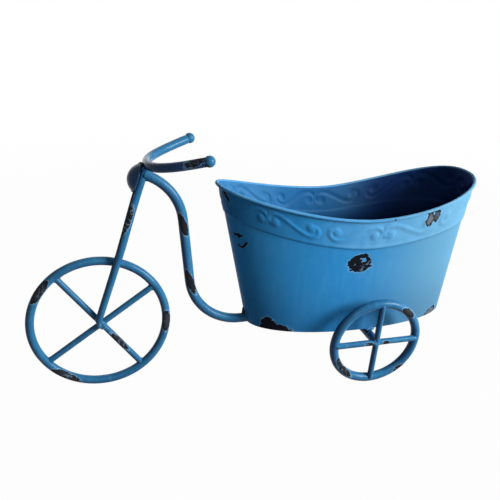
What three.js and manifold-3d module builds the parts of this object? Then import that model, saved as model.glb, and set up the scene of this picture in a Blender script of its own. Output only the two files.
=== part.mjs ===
// A planter in the form of a small three-wheeled bicycle: bent and welded steel bar carries an oval
// sheet-metal tub. The front wheel points to -X, the left side to -Y, and Z is up from the ground.

import * as THREE from "three";
import { mergeVertices } from "three/addons/utils/BufferGeometryUtils.js";
import Module from "manifold-3d";

const wasm = await Module();
wasm.setup();

// Stock, in millimetres with its coat of paint
const handlebarDiameter = 8.8;
const frontRingBar = 8.4;
const rearBar = 9.2;
const spokeDiameter = 6.2;
const frameTubeDiameter = 9.8;
const frameTubeWall = 1;
const sheet = 0.7;

// Gap that a welded or seated joint keeps between two pieces, and how far a cutter runs past what it cuts
const seatGap = 0.3;
const overrun = 6;

// Wheels; their spokes cross a little behind, below or outside the ring's own centre
const frontWheelDiameter = 140.6;
const frontCrossingBack = 1.6;
const frontCrossingDrop = 1.2;
const frontLongSpokeAngle = 127.3;
const frontHalfSpokeAngle = 34.9;
const rearWheelDiameter = 99.9;
const rearLeanAngle = 5.8;
const rearCrossingDrop = -0.8;
const rearCrossingOffset = 2.5;
const rearLongSpokeAngle = 89.5;
const wheelToTubGap = 9.9;

// Fork
const forkRakeAngle = 18.5;
const forkLead = 2.6;
const forkFootHeight = 5;
const forkLength = 156.6;
const forkHeadLength = 5.9;
const forkTopDiameter = 8.6;
const forkFootDiameter = 6.8;

// Frame tube
const neckFallAngle = 25;
const neckLength = 6.3;
const upperBendRadius = 54;
const lowerBendRadius = 52.5;
const downTubeLeanAngle = 5.7;
const downTubeLead = 7.5;
const spineOverhang = 12;

// Handlebar
const handlebarHalfSpan = 48.35;
const handlebarSweep = 45;
const handlebarRise = 11.4;
const handlebarSetback = 1;
const handlebarSweepPower = 2.6;
const handlebarRisePower = 2.85;
const gripBallDiameter = 10.6;

// Lamp
const lampDiameter = 28.4;
const lampDepth = 8;
const lampSheet = 0.8;
const lampLipDiameter = 1.8;
const lampDrop = 4.8;
const lampRollStartAngle = 100;
const lampRollTurnAngle = 240;

// Tub
const floorLength = 224.4;
const floorWidth = 91.5;
const floorWidening = -0.03;
const floorPlanPower = 2.05;
const rimLength = 273.8;
const rimWidth = 121.2;
const rimWidening = 0.25;
const rimPlanPower = 2.33;
const rimLead = 9.5;
const rimSideHeight = 125.2;
const rimFrontRise = 26;
const rimRearRise = 28.6;
const rimRisePower = 1.7;
const floorSetUp = 8;
const axleBehindTubMiddle = 10;
const bandDepth = 31.5;
const bandDeepening = 12;
const bandProud = 1.1;
const bandStepHeight = 2.6;
const rimWireDiameter = 1.2;
const curlTurnAngle = 262;

// Facets
const rodSides = 12;
const wireSides = 6;
const ballSides = 20;
const lampSides = 28;
const frontRingSteps = 60;
const rearRingSteps = 48;
const forkSteps = 22;
const handlebarSteps = 32;
const ballSteps = 9;
const lampSteps = 7;
const tubSteps = 84;
const curlSteps = 7;
const bendStepAngle = 7.5;

const degree = Math.PI / 180;
const handlebarRadius = handlebarDiameter / 2;
const spokeRadius = spokeDiameter / 2;
const frameTubeRadius = frameTubeDiameter / 2;
const yAxis = new THREE.Vector3(0, 1, 0);
const zAxis = new THREE.Vector3(0, 0, 1);

// A wheel leans outwards at the top about its centre, which stands as high as the ring's lowest flat needs
function wheel(diameter, bar, steps, lean, crossing) {
  const sizes = { radius: (diameter - bar) / 2, barRadius: bar / 2, steps, lean: lean * degree, crossing };
  const ring = ringSurface(wheelFrame(new THREE.Vector3(), 1, sizes), sizes);
  ring.computeBoundingBox();
  return { ...sizes, height: -ring.boundingBox.min.z };
}

// A wheel's own directions: along the bicycle, outwards on its side, and up in the leaning plane
function wheelFrame(hub, side, { lean }) {
  const out = new THREE.Vector3(0, side * Math.cos(lean), -Math.sin(lean));
  const up = new THREE.Vector3(0, side * Math.sin(lean), Math.cos(lean));
  const at = (x, outwards, z) =>
    hub.clone().add(new THREE.Vector3(x, 0, 0)).addScaledVector(out, outwards).addScaledVector(up, z);
  return { out, up, at };
}

// A wheel's ring: round bar bent to a circle, with a flat at the ground
function ringSurface({ up, at }, { radius, barRadius, steps }) {
  const stations = Array.from({ length: steps }, (_, i) => {
    const angle = ((i + 0.5) * 2 * Math.PI) / steps - Math.PI / 2;
    const [c, s] = [Math.cos(angle), Math.sin(angle)];
    const heading = new THREE.Vector3(-s, 0, 0).addScaledVector(up, c);
    return { point: at(radius * c, 0, radius * s), heading, radius: barRadius };
  });
  return bar(stations, yAxis, { endless: true });
}
const frontCrossing = {
  back: frontCrossingBack,
  down: frontCrossingDrop,
  out: 0,
  longAngle: frontLongSpokeAngle,
  halfAngle: frontHalfSpokeAngle,
};
const rearCrossing = {
  back: 0,
  down: rearCrossingDrop,
  out: rearCrossingOffset,
  longAngle: rearLongSpokeAngle,
  halfAngle: 0,
};
const frontWheel = wheel(frontWheelDiameter, frontRingBar, frontRingSteps, 0, frontCrossing);
const rearWheel = wheel(rearWheelDiameter, rearBar, rearRingSteps, rearLeanAngle, rearCrossing);

// Heights of the stack axle, frame tube, floor and wall; the axle meets the crossed spokes
const axleHeight = rearWheel.height - rearCrossing.down;
const spineHeight = axleHeight + rearBar / 2 + seatGap + frameTubeRadius;
const floorUnderside = spineHeight + frameTubeRadius + seatGap;
const wallBottom = floorUnderside - floorSetUp;

// The fork's axis leans back in the middle plane and passes just in front of the front wheel's centre
const frontHub = new THREE.Vector3(0, 0, frontWheel.height);
const forkRake = forkRakeAngle * degree;
const forkUp = new THREE.Vector3(Math.sin(forkRake), 0, Math.cos(forkRake));
const forkForward = new THREE.Vector3(-Math.cos(forkRake), 0, Math.sin(forkRake));
const onFork = (distance) =>
  frontHub.clone().addScaledVector(forkForward, forkLead).addScaledVector(forkUp, distance);
const forkTop = forkLength + forkHeadLength;
const forkRadiusAt = (distance) =>
  THREE.MathUtils.mapLinear(distance, forkFootHeight, forkTop, forkFootDiameter, forkTopDiameter) / 2;

// The frame tube's centreline as stations with a place and a heading, both in the middle plane
function frameStations() {
  const headings = (from, to) => {
    const count = Math.ceil(Math.abs(to - from) / bendStepAngle);
    return Array.from({ length: count + 1 }, (_, i) => from + ((to - from) * i) / count);
  };
  const towards = (angle) => new THREE.Vector3(Math.cos(angle * degree), 0, Math.sin(angle * degree));
  const bend = (start, angles, radius) => {
    const turn = Math.sign(angles.at(-1) - angles[0]);
    const centre = start.clone().addScaledVector(towards(angles[0] + 90 * turn), radius);
    return angles.map((angle) => ({
      point: centre.clone().addScaledVector(towards(angle + 90 * turn), -radius),
      heading: towards(angle),
    }));
  };
  const steep = -90 + downTubeLeanAngle;
  const neck = { point: onFork(forkLength), heading: towards(-neckFallAngle) };
  const upperStart = neck.point.clone().addScaledVector(neck.heading, neckLength);
  const upper = bend(upperStart, headings(-neckFallAngle, steep), upperBendRadius);
  const lowerDrop = lowerBendRadius * (1 - Math.sin(downTubeLeanAngle * degree));
  const straight = (upper.at(-1).point.z - spineHeight - lowerDrop) / Math.cos(downTubeLeanAngle * degree);
  const foot = upper.at(-1).point.clone().addScaledVector(towards(steep), straight);
  const lower = bend(foot, headings(steep, 0), lowerBendRadius);
  return [neck, ...upper, ...lower];
}
const frameBends = frameStations();

// Places along X that follow from the bends: the tub starts just behind the lower bend
const tubMiddle = frameBends.at(-1).point.x + downTubeLead + floorLength / 2;
const axlePlace = tubMiddle + axleBehindTubMiddle;
const rimMiddle = tubMiddle - rimLead;

// Tub: the wall's middle surface runs straight from the bottom oval to the rim's oval
const curlRadius = rimWireDiameter / 2 + seatGap + sheet / 2;
const beadReach = 2 * curlRadius + sheet / 2;
const wallHalf = {
  bottomLength: (floorLength - sheet) / 2,
  bottomWidth: (floorWidth - sheet) / 2,
  topLength: rimLength / 2 - beadReach,
  topWidth: rimWidth / 2 - beadReach,
};

// Plan of the tub: a superellipse whose width grows, or shrinks, in proportion towards the rear
const rounded = (value, power) => Math.sign(value) * Math.abs(value) ** (2 / power);
function planPoint(angle, halfLength, halfWidth, widening, power) {
  const [along, across] = [Math.cos(angle), Math.sin(angle)].map((value) => rounded(value, power));
  return new THREE.Vector3(halfLength * along, halfWidth * across * (1 + widening * along), 0);
}
const rimPlan = (angle) =>
  planPoint(angle, wallHalf.topLength, wallHalf.topWidth, rimWidening, rimPlanPower);
const bottomPlan = (angle) =>
  planPoint(angle, wallHalf.bottomLength, wallHalf.bottomWidth, floorWidening, floorPlanPower);
function outwardAt(angle) {
  const probe = Math.PI / tubSteps;
  const along = rimPlan(angle + probe).sub(rimPlan(angle - probe));
  return new THREE.Vector3(along.y, -along.x, 0).normalize();
}

// Height of the wall's middle surface under the bead, above the wall's bottom edge
function wallRiseAt(angle) {
  const along = rounded(Math.cos(angle), rimPlanPower);
  const endRise = along < 0 ? rimFrontRise : rimRearRise;
  return rimSideHeight - curlRadius - sheet / 2 + endRise * Math.abs(along) ** rimRisePower;
}

// The band under the bead is shallower at the front end and deeper at the rear
const bandDepthAt = (angle) => bandDepth + bandDeepening * rounded(Math.cos(angle), rimPlanPower) ** 3;

// A point of the wall's middle surface at a height above the bottom edge, with the band's step in it
function wallPoint(angle, height) {
  const rise = wallRiseAt(angle);
  const bandFoot = rise - bandDepthAt(angle);
  const bottom = bottomPlan(angle).add(new THREE.Vector3(tubMiddle, 0, wallBottom));
  const top = rimPlan(angle).addScaledVector(outwardAt(angle), -bandProud);
  top.add(new THREE.Vector3(rimMiddle, 0, wallBottom + rise));
  const stepped = THREE.MathUtils.clamp((height - bandFoot) / bandStepHeight, 0, 1);
  return bottom.lerp(top, height / rise).addScaledVector(outwardAt(angle), bandProud * stepped);
}
const curlCentre = (angle) =>
  wallPoint(angle, wallRiseAt(angle)).addScaledVector(outwardAt(angle), curlRadius);

// The tops of the leaning rear wheels stand clear of the wall
const tubAngles = Array.from({ length: tubSteps }, (_, i) => (i * 2 * Math.PI) / tubSteps);
const wheelTopHeight = rearWheelDiameter - wallBottom;
const wallHalfWidth = Math.max(...tubAngles.map((angle) => wallPoint(angle, wheelTopHeight).y));
const wheelTopPlane = wallHalfWidth + sheet / 2 + wheelToTubGap + rearWheel.barRadius;
const wheelPlane = wheelTopPlane - rearWheel.radius * Math.sin(rearWheel.lean);
const frontFrame = wheelFrame(frontHub, 0, frontWheel);
function rearFrame(side) {
  const hub = new THREE.Vector3(axlePlace, side * wheelPlane, rearWheel.height);
  return wheelFrame(hub, side, rearWheel);
}

// A closed surface through equal rings of points: the last joins the first, or flat fans close both ends
function skin(rings, endless = false) {
  const count = rings[0].length;
  const positions = rings.flat().flatMap((point) => point.toArray());
  const index = [];
  const spans = endless ? rings.length : rings.length - 1;
  for (let i = 0; i < spans; i++)
    for (let j = 0; j < count; j++) {
      const [a, b] = [i * count + j, i * count + ((j + 1) % count)];
      const [c, d] = [a, b].map((corner) => (corner + count) % (rings.length * count));
      index.push(a, b, d, a, d, c);
    }
  const fan = (ring, first, turned) => {
    const middle = ring.reduce((sum, point) => sum.add(point), new THREE.Vector3()).divideScalar(count);
    const hub = positions.length / 3;
    positions.push(...middle.toArray());
    for (let j = 0; j < count; j++) {
      const edge = [first + j, first + ((j + 1) % count)];
      index.push(hub, ...(turned ? edge.reverse() : edge));
    }
  };
  if (!endless) {
    fan(rings[0], 0, true);
    fan(rings.at(-1), (rings.length - 1) * count, false);
  }
  const geometry = new THREE.BufferGeometry();
  geometry.setAttribute("position", new THREE.Float32BufferAttribute(positions, 3));
  geometry.setIndex(index);
  return facingOut(geometry);
}

// Turns every face round if the surface is inside out, which its signed volume tells
function facingOut(geometry) {
  const [position, index] = [geometry.attributes.position, geometry.index];
  const corner = (i) => new THREE.Vector3().fromBufferAttribute(position, index.getX(i));
  let volume = 0;
  for (let i = 0; i < index.count; i += 3)
    volume += corner(i).dot(corner(i + 1).cross(corner(i + 2)));
  if (volume < 0)
    for (let i = 0; i < index.count; i += 3) {
      const [second, third] = [index.getX(i + 1), index.getX(i + 2)];
      index.setX(i + 1, third);
      index.setX(i + 2, second);
    }
  return geometry;
}

// A round bar through stations of {point, heading, radius}; its facets lie flat to the reference axis
function bar(stations, reference, { sides = rodSides, endless = false } = {}) {
  const rings = stations.map(({ point, heading, radius }) => {
    const across = reference.clone().addScaledVector(heading, -reference.dot(heading)).normalize();
    const third = heading.clone().cross(across);
    return Array.from({ length: sides }, (_, i) => {
      const angle = ((i + 0.5) * 2 * Math.PI) / sides;
      return point
        .clone()
        .addScaledVector(across, radius * Math.cos(angle))
        .addScaledVector(third, radius * Math.sin(angle));
    });
  });
  return skin(rings, endless);
}

// A straight bar between two points
function straightBar(from, to, radius, reference = yAxis) {
  const heading = to.clone().sub(from).normalize();
  return bar([from, to].map((point) => ({ point, heading, radius })), reference);
}

// A mesh geometry as a solid for cutting, and back again
function solid(geometry) {
  const merged = mergeVertices(geometry);
  return new wasm.Manifold(
    new wasm.Mesh({
      numProp: 3,
      vertProperties: merged.attributes.position.array,
      triVerts: new Uint32Array(merged.index.array),
    }),
  );
}
function surface(cutSolid) {
  const mesh = cutSolid.getMesh();
  const geometry = new THREE.BufferGeometry();
  geometry.setAttribute("position", new THREE.BufferAttribute(mesh.vertProperties, 3));
  geometry.setIndex(new THREE.BufferAttribute(mesh.triVerts, 1));
  return geometry;
}

// Finishes: the one blue paint, and the zinc of the wire inside the bead
const bluePaint = () => new THREE.MeshStandardMaterial({ color: 0x3f8cc4, roughness: 0.4, metalness: 0.15 });
const zincWire = () => new THREE.MeshStandardMaterial({ color: 0x9ca3a8, roughness: 0.5, metalness: 0.9 });

function piece(name, geometry, material = bluePaint()) {
  const mesh = new THREE.Mesh(geometry, material);
  mesh.name = name;
  return mesh;
}

// Wheel spokes: one rod right across the ring and two half rods that butt against it where they cross
function wheelSpokes(names, { at, up }, { radius, barRadius, steps, crossing }) {
  const { back, down, out, longAngle, halfAngle } = crossing;
  const sagitta = spokeRadius ** 2 / (2 * radius);
  const inner = radius * Math.cos(Math.PI / steps) - barRadius - seatGap - sagitta;
  const rodEnd = (degrees, distance) => {
    const [c, s] = [Math.cos(degrees * degree), Math.sin(degrees * degree)];
    const along = back * c - down * s;
    const reach = distance ?? Math.sqrt(inner ** 2 - back ** 2 - down ** 2 + along ** 2) - along;
    return at(back + reach * c, out, reach * s - down);
  };
  const butt = spokeRadius + seatGap;
  const spans = [
    [rodEnd(longAngle + 180), rodEnd(longAngle)],
    [rodEnd(halfAngle, butt), rodEnd(halfAngle)],
    [rodEnd(halfAngle + 180, butt), rodEnd(halfAngle + 180)],
  ];
  return spans.map(([from, to], i) => piece(names[i], straightBar(from, to, spokeRadius)));
}

// How far the fork's axis stands to the left of the middle plane: it passes the ring on its left side,
// ends on the left of the crossed spokes, and is back in the middle under the lamp
function forkAside(distance) {
  const ringPlace = frontWheel.radius;
  const atRing = frontWheel.barRadius + seatGap + forkRadiusAt(ringPlace);
  const atHub = spokeRadius + seatGap + forkRadiusAt(forkFootHeight);
  const middleFrom = forkLength - lampDrop - lampDiameter / 2;
  const below = THREE.MathUtils.mapLinear(distance, forkFootHeight, ringPlace, atHub, atRing);
  const above = atRing * (1 - THREE.MathUtils.smoothstep(distance, ringPlace + frontRingBar, middleFrom));
  return distance < ringPlace ? below : above;
}

// Fork: one rod that tapers to its rounded foot
function forkRod() {
  const footRadius = forkFootDiameter / 2;
  const domeShares = [-0.96, -0.8, -0.45];
  const place = (distance) => {
    const aside = forkAside(Math.max(distance, forkFootHeight));
    return onFork(distance).addScaledVector(yAxis, -aside);
  };
  const probe = forkTop / forkSteps / 2;
  const station = (distance, radius) => {
    const heading = place(distance + probe).sub(place(distance - probe)).normalize();
    return { point: place(distance), heading, radius };
  };
  const dome = domeShares.map((share) =>
    station(forkFootHeight + share * footRadius, footRadius * Math.sqrt(1 - share ** 2)),
  );
  const rod = Array.from({ length: forkSteps + 1 }, (_, i) => {
    const distance = THREE.MathUtils.lerp(forkFootHeight, forkTop, i / forkSteps);
    return station(distance, forkRadiusAt(distance));
  });
  return piece("fork_rod", bar([...dome, ...rod], yAxis));
}

// Frame: one bent tube, mitred to the fork's back, that runs on under the floor to just behind the axle
function frameTube() {
  const rearEnd = new THREE.Vector3(axlePlace + spineOverhang, 0, spineHeight);
  const stations = [...frameBends, { point: rearEnd, heading: new THREE.Vector3(1, 0, 0) }];
  const tube = (radius, beyond) =>
    bar(
      stations.map(({ point, heading }, i) => {
        const past = i === 0 ? -beyond : i === stations.length - 1 ? beyond : 0;
        return { point: point.clone().addScaledVector(heading, past), heading, radius };
      }),
      yAxis,
    );
  const forkSpace = straightBar(
    onFork(forkLength - frameTubeDiameter - overrun),
    onFork(forkTop + overrun),
    forkTopDiameter / 2 + seatGap,
  );
  const outside = solid(tube(frameTubeRadius, 0));
  const bore = solid(tube(frameTubeRadius - frameTubeWall, overrun));
  return piece("frame_tube", surface(outside.subtract(bore).subtract(solid(forkSpace))));
}

// Handlebar: one bar whose arms sweep back and rise towards the grips
const handlebarMiddle = onFork(forkTop)
  .addScaledVector(forkUp, seatGap + handlebarRadius)
  .addScaledVector(forkForward, -handlebarSetback);
function handlebarPoint(share) {
  return handlebarMiddle
    .clone()
    .add(
      new THREE.Vector3(
        handlebarSweep * Math.abs(share) ** handlebarSweepPower,
        handlebarHalfSpan * share,
        handlebarRise * Math.abs(share) ** handlebarRisePower,
      ),
    );
}
function handlebarHeading(share) {
  const slope = (size, power) => Math.sign(share) * size * power * Math.abs(share) ** (power - 1);
  return new THREE.Vector3(
    slope(handlebarSweep, handlebarSweepPower),
    handlebarHalfSpan,
    slope(handlebarRise, handlebarRisePower),
  ).normalize();
}
function handlebar() {
  const stations = Array.from({ length: handlebarSteps + 1 }, (_, i) => {
    const share = (2 * i) / handlebarSteps - 1;
    return { point: handlebarPoint(share), heading: handlebarHeading(share), radius: handlebarRadius };
  });
  return piece("handlebar", bar(stations, zAxis));
}

// Grip ball: a ball with a flat where the bar's end is welded on
function gripBall(name, side) {
  const radius = gripBallDiameter / 2;
  const flatAngle = Math.PI - Math.asin(handlebarRadius / radius);
  const profile = Array.from({ length: ballSteps + 1 }, (_, i) => {
    const angle = flatAngle * (1 - i / ballSteps);
    return new THREE.Vector2(i === ballSteps ? 0 : radius * Math.sin(angle), radius * Math.cos(angle));
  });
  profile.unshift(new THREE.Vector2(0, profile[0].y));
  const outwards = handlebarHeading(side).multiplyScalar(side);
  const centre = handlebarPoint(side).addScaledVector(outwards, seatGap - radius * Math.cos(flatAngle));
  const ball = piece(name, new THREE.LatheGeometry(profile, ballSides));
  ball.quaternion.setFromUnitVectors(yAxis, outwards);
  ball.position.copy(centre);
  return ball;
}

// Lamp: a pressed dome with a rolled lip, seated with its open back on the front of the fork's head
function lampBowl() {
  const lip = lampLipDiameter / 2;
  const mouth = lampDiameter / 2 - lip;
  const dome = (mouth ** 2 + lampDepth ** 2) / (2 * lampDepth);
  const spread = Math.asin(mouth / dome);
  const arc = (radius) =>
    Array.from({ length: lampSteps }, (_, i) => {
      const angle = (spread * i) / lampSteps;
      return new THREE.Vector2(radius * Math.sin(angle), lip + lampDepth - dome + radius * Math.cos(angle));
    });
  const rolled = Array.from({ length: lampSteps }, (_, i) => {
    const angle = (lampRollStartAngle - (lampRollTurnAngle * i) / (lampSteps - 1)) * degree;
    return new THREE.Vector2(mouth + lip * Math.cos(angle), lip + lip * Math.sin(angle));
  });
  const profile = [...arc(dome), ...rolled, ...arc(dome - lampSheet).reverse()];
  const bowl = piece("lamp_bowl", new THREE.LatheGeometry(profile.reverse(), lampSides));
  const seat = onFork(forkLength - lampDrop).addScaledVector(forkForward, forkTopDiameter / 2 + seatGap);
  bowl.quaternion.setFromUnitVectors(yAxis, forkForward);
  bowl.position.copy(seat);
  return bowl;
}

// The channel that lets the frame tube in under the front of the tub
function frameChannel() {
  const front = tubMiddle - floorLength / 2;
  const [from, to] = [front - overrun, front + 2 * overrun].map((x) => new THREE.Vector3(x, 0, spineHeight));
  return solid(straightBar(from, to, frameTubeRadius + seatGap));
}

// Tub wall: one sheet with a stepped-out band, rolled over at the rim into an open bead
function tubWall() {
  const curl = (angle, radius) =>
    Array.from({ length: curlSteps }, (_, i) => {
      const turn = Math.PI - (curlTurnAngle * degree * (i + 1)) / curlSteps;
      return curlCentre(angle)
        .addScaledVector(outwardAt(angle), radius * Math.cos(turn))
        .addScaledVector(zAxis, radius * Math.sin(turn));
    });
  const sections = tubAngles.map((angle) => {
    const rise = wallRiseAt(angle);
    const bandFoot = rise - bandDepthAt(angle);
    const heights = [0, bandFoot / 3, (bandFoot * 2) / 3, bandFoot, bandFoot + bandStepHeight, rise];
    const face = (offset) =>
      heights.map((height) => wallPoint(angle, height).addScaledVector(outwardAt(angle), offset));
    return [
      ...face(sheet / 2),
      ...curl(angle, curlRadius - sheet / 2),
      ...curl(angle, curlRadius + sheet / 2).reverse(),
      ...face(-sheet / 2).reverse(),
    ];
  });
  return piece("tub_wall", surface(solid(skin(sections, true)).subtract(frameChannel())));
}

// Rim wire: the steel wire inside the bead
function rimWire() {
  const stations = tubAngles.map((angle, i) => {
    const [before, after] = [tubAngles.at(i - 1), tubAngles[(i + 1) % tubSteps]];
    const heading = curlCentre(after).sub(curlCentre(before)).normalize();
    return { point: curlCentre(angle), heading, radius: rimWireDiameter / 2 };
  });
  return piece("rim_wire", bar(stations, zAxis, { sides: wireSides, endless: true }), zincWire());
}

// Tub floor: an oval plate with a flange turned down along the inside of the wall
function tubFloor() {
  const ring = (height, inset) => {
    const drawnIn = sheet / 2 + seatGap + inset;
    return tubAngles.map((angle) => wallPoint(angle, height).addScaledVector(outwardAt(angle), -drawnIn));
  };
  const rings = [ring(floorSetUp + sheet, 0), ring(0, 0), ring(0, sheet), ring(floorSetUp, sheet)];
  return piece("tub_floor", surface(solid(skin(rings)).subtract(frameChannel())));
}

// Rear axle: a bar under the frame tube whose ends butt against the long spokes
function rearAxle() {
  const leanAllowance = (rearBar / 2) * Math.tan(rearWheel.lean);
  const reach = wheelPlane + rearCrossing.out - spokeRadius - seatGap - leanAllowance;
  const end = (side) => new THREE.Vector3(axlePlace, side * reach, axleHeight);
  return piece("rear_axle", straightBar(end(-1), end(1), rearBar / 2, zAxis));
}

const planter = new THREE.Group();
planter.add(tubWall(), tubFloor(), rimWire());
planter.add(frameTube(), forkRod(), handlebar());
planter.add(gripBall("grip_ball_left", -1), gripBall("grip_ball_right", 1), lampBowl(), rearAxle());
planter.add(piece("front_ring", ringSurface(frontFrame, frontWheel)));
const frontSpokeNames = ["long", "upper", "lower"].map((which) => `front_spoke_${which}`);
planter.add(...wheelSpokes(frontSpokeNames, frontFrame, frontWheel));
for (const [sideName, side] of [["left", -1], ["right", 1]]) {
  const spokeNames = ["long", "back", "front"].map((which) => `rear_spoke_${which}_${sideName}`);
  planter.add(piece(`rear_ring_${sideName}`, ringSurface(rearFrame(side), rearWheel)));
  planter.add(...wheelSpokes(spokeNames, rearFrame(side), rearWheel));
}

// The origin lies on the ground under the middle of the whole
planter.position.x = -new THREE.Box3().setFromObject(planter).getCenter(new THREE.Vector3()).x;

export default planter;
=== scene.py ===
# %% [markdown]
# A planter in the form of a small three-wheeled bicycle. Bent and welded steel bar carries an oval tub of
# sheet steel, and one coat of satin blue paint, rubbed and chipped on purpose, covers all of it.
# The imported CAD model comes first. It fixes every size and place, and each surface below is worked out
# from the same dimensions, only finer, and with the welds, the embossed scrolls and the worn paint.

import math

import bpy
import numpy as np
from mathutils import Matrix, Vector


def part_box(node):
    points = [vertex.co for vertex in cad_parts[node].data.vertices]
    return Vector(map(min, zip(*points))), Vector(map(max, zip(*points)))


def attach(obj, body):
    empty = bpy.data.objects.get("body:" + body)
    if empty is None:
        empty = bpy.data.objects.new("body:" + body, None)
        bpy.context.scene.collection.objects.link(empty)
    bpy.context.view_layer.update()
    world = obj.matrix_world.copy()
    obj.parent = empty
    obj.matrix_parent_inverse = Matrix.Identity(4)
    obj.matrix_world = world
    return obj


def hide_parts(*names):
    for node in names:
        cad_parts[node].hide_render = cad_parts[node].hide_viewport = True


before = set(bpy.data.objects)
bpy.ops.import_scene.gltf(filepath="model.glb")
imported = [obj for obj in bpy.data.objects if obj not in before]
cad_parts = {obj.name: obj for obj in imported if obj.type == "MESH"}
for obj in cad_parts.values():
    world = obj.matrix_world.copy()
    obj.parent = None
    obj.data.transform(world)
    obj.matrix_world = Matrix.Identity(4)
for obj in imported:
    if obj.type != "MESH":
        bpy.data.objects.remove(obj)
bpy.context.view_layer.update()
print("CAD nodes in the frame:", len(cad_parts))

# %% [markdown]
# A maker measures this bicycle in millimetres from the front wheel's centre, so this script does too.
# X runs back along the bicycle, Y to its right side and Z up from the ground. One function turns such
# points into the metres of the shared frame, whose origin lies under the middle of the whole object.

# %% Units, directions and the way into the shared frame
MM = 0.001
DEGREE = math.pi / 180
X_AXIS, Y_AXIS, Z_AXIS = np.eye(3)


def box_mm(node):
    """A CAD node's middle and its half sizes, in millimetres of the shared frame."""
    low, high = (np.array(corner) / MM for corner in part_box(node))
    return (low + high) / 2, (high - low) / 2


hub_shift = box_mm("front_ring")[0][0]


def to_frame(points):
    """Bicycle millimetres to metres of the shared frame: slide along X to the front hub, then scale."""
    return (np.asarray(points, float) + hub_shift * X_AXIS) * MM


def unit(vectors):
    """Each vector divided by its own length."""
    return vectors / np.linalg.norm(vectors, axis=-1, keepdims=True)


print("front hub stands at X", round(hub_shift, 2), "mm of the frame")

# %% [markdown]
# Every piece here is a skin stretched over rings of points: a bar is a row of circles, a bowl is a row of
# growing circles, and the tub is a row of cross-sections set side by side. Bevelled curves and a Screw
# modifier could make most of them, but rings worked out as arrays also tell where on the bicycle each
# point lies. So numbers can be kept on the points, such as how near a point is to a chip, for the paint.

# %% A skin over rings of points
def grid_faces(count, columns, endless):
    """Four-sided faces between neighbouring rings. Each ring closes on itself, and the last joins the first
    if the piece is endless. Otherwise a fan of three-sided faces joins each end ring to its pole, and the
    two poles are numbered after the grid's own points."""
    grid = np.arange(count * columns).reshape(count, columns)
    beyond = np.roll(grid, -1, axis=0)
    corners = [grid, np.roll(grid, -1, axis=1), np.roll(beyond, -1, axis=1), beyond]
    spans = count if endless else count - 1
    quads = np.stack([corner[:spans] for corner in corners], axis=-1).reshape(-1, 4)
    if endless:
        return quads, np.zeros((0, 3), int)
    poles = np.full((2, columns), [[count * columns], [count * columns + 1]])
    first = np.stack([poles[0], np.roll(grid[0], -1), grid[0]], axis=-1)
    last = np.stack([poles[1], grid[-1], np.roll(grid[-1], -1)], axis=-1)
    return quads, np.concatenate([first, last])


def turned_outwards(points, quads, fans):
    """The faces as they are, or turned round if the signed volume, a sum of triple products, is negative."""
    triangles = np.concatenate([quads[:, [0, 1, 2]], quads[:, [0, 2, 3]], fans])
    centred = points - points.mean(axis=0)
    a, b, c = (centred[triangles[:, k]] for k in range(3))
    if np.einsum("ij,ij->i", a, np.cross(b, c)).sum() < 0:
        return quads[:, ::-1], fans[:, ::-1]
    return quads, fans


def skin_piece(name, rings, material, stands_for=(), endless=False, marks=None):
    """One closed mesh over a grid of points, rings by columns. Unless the piece is endless, the mean of each
    end ring is the pole that closes it. Marks are numbers on the points, and a pole takes its ring's."""
    rings = np.asarray(rings, float)
    count, columns = rings.shape[:2]
    points = rings.reshape(-1, 3)
    if not endless:
        points = np.concatenate([points, rings[[0, -1]].mean(axis=1)])
    quads, fans = turned_outwards(points, *grid_faces(count, columns, endless))
    sizes = np.concatenate([np.full(len(quads), 4), np.full(len(fans), 3)])
    indices = np.concatenate([quads.ravel(), fans.ravel()])
    mesh = bpy.data.meshes.new(name)
    mesh.vertices.add(len(points))
    mesh.vertices.foreach_set("co", to_frame(points).ravel())
    mesh.loops.add(len(indices))
    mesh.loops.foreach_set("vertex_index", indices)
    mesh.polygons.add(len(sizes))
    mesh.polygons.foreach_set("loop_start", np.cumsum(sizes) - sizes)
    mesh.polygons.foreach_set("use_smooth", np.ones(len(sizes), bool))
    mesh.update(calc_edges=True)
    for mark, values in (marks or {}).items():
        values = np.broadcast_to(values, (count, columns))
        if not endless:
            values = np.concatenate([values.ravel(), values[0, :1], values[-1, :1]])
        attribute = mesh.attributes.new(mark, "FLOAT", "POINT")
        attribute.data.foreach_set("value", values.astype(np.float32).ravel())
    mesh.materials.append(material)
    piece = bpy.data.objects.new(name, mesh)
    bpy.context.scene.collection.objects.link(piece)
    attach(piece, "root")
    if stands_for:
        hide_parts(*stands_for)
    print(f"{name}: {2 * len(quads) + len(fans)} triangles")
    return piece


# %% [markdown]
# Nothing on this bicycle is quite straight or even. Paint is thicker in one place than in another, weld is
# lumpy, and edges are soft. Two small formulas stand for all of that: a sum of sine waves in random
# directions, which has no seam anywhere, and a step with soft ends.

# %% Waves, soft steps and bells
WAVE_COUNT, WAVE_GAIN = 7, 1.6


def waves(points, length, seed):
    """Smooth noise between about -1 and 1: the mean of sine waves of one length in seeded directions,
    times a gain that makes up for waves that cancel."""
    draw = np.random.default_rng(seed)
    direction = unit(draw.normal(size=(WAVE_COUNT, 3))) * (2 * math.pi / length)
    phase = draw.uniform(0, 2 * math.pi, WAVE_COUNT)
    return np.sin(np.asarray(points) @ direction.T + phase).mean(axis=-1) * WAVE_GAIN


def smooth_step(value, low, high):
    """0 below low and 1 above high, with the cubic 3 t squared less 2 t cubed between them."""
    t = np.clip((value - low) / (high - low), 0, 1)
    return t * t * (3 - 2 * t)


def bell(value, middle, width):
    """1 at the middle, and e to the minus square of the distance over the width beside it."""
    return np.exp(-(((value - middle) / width) ** 2))


print("half way up a soft step:", smooth_step(0.5, 0, 1))

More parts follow.
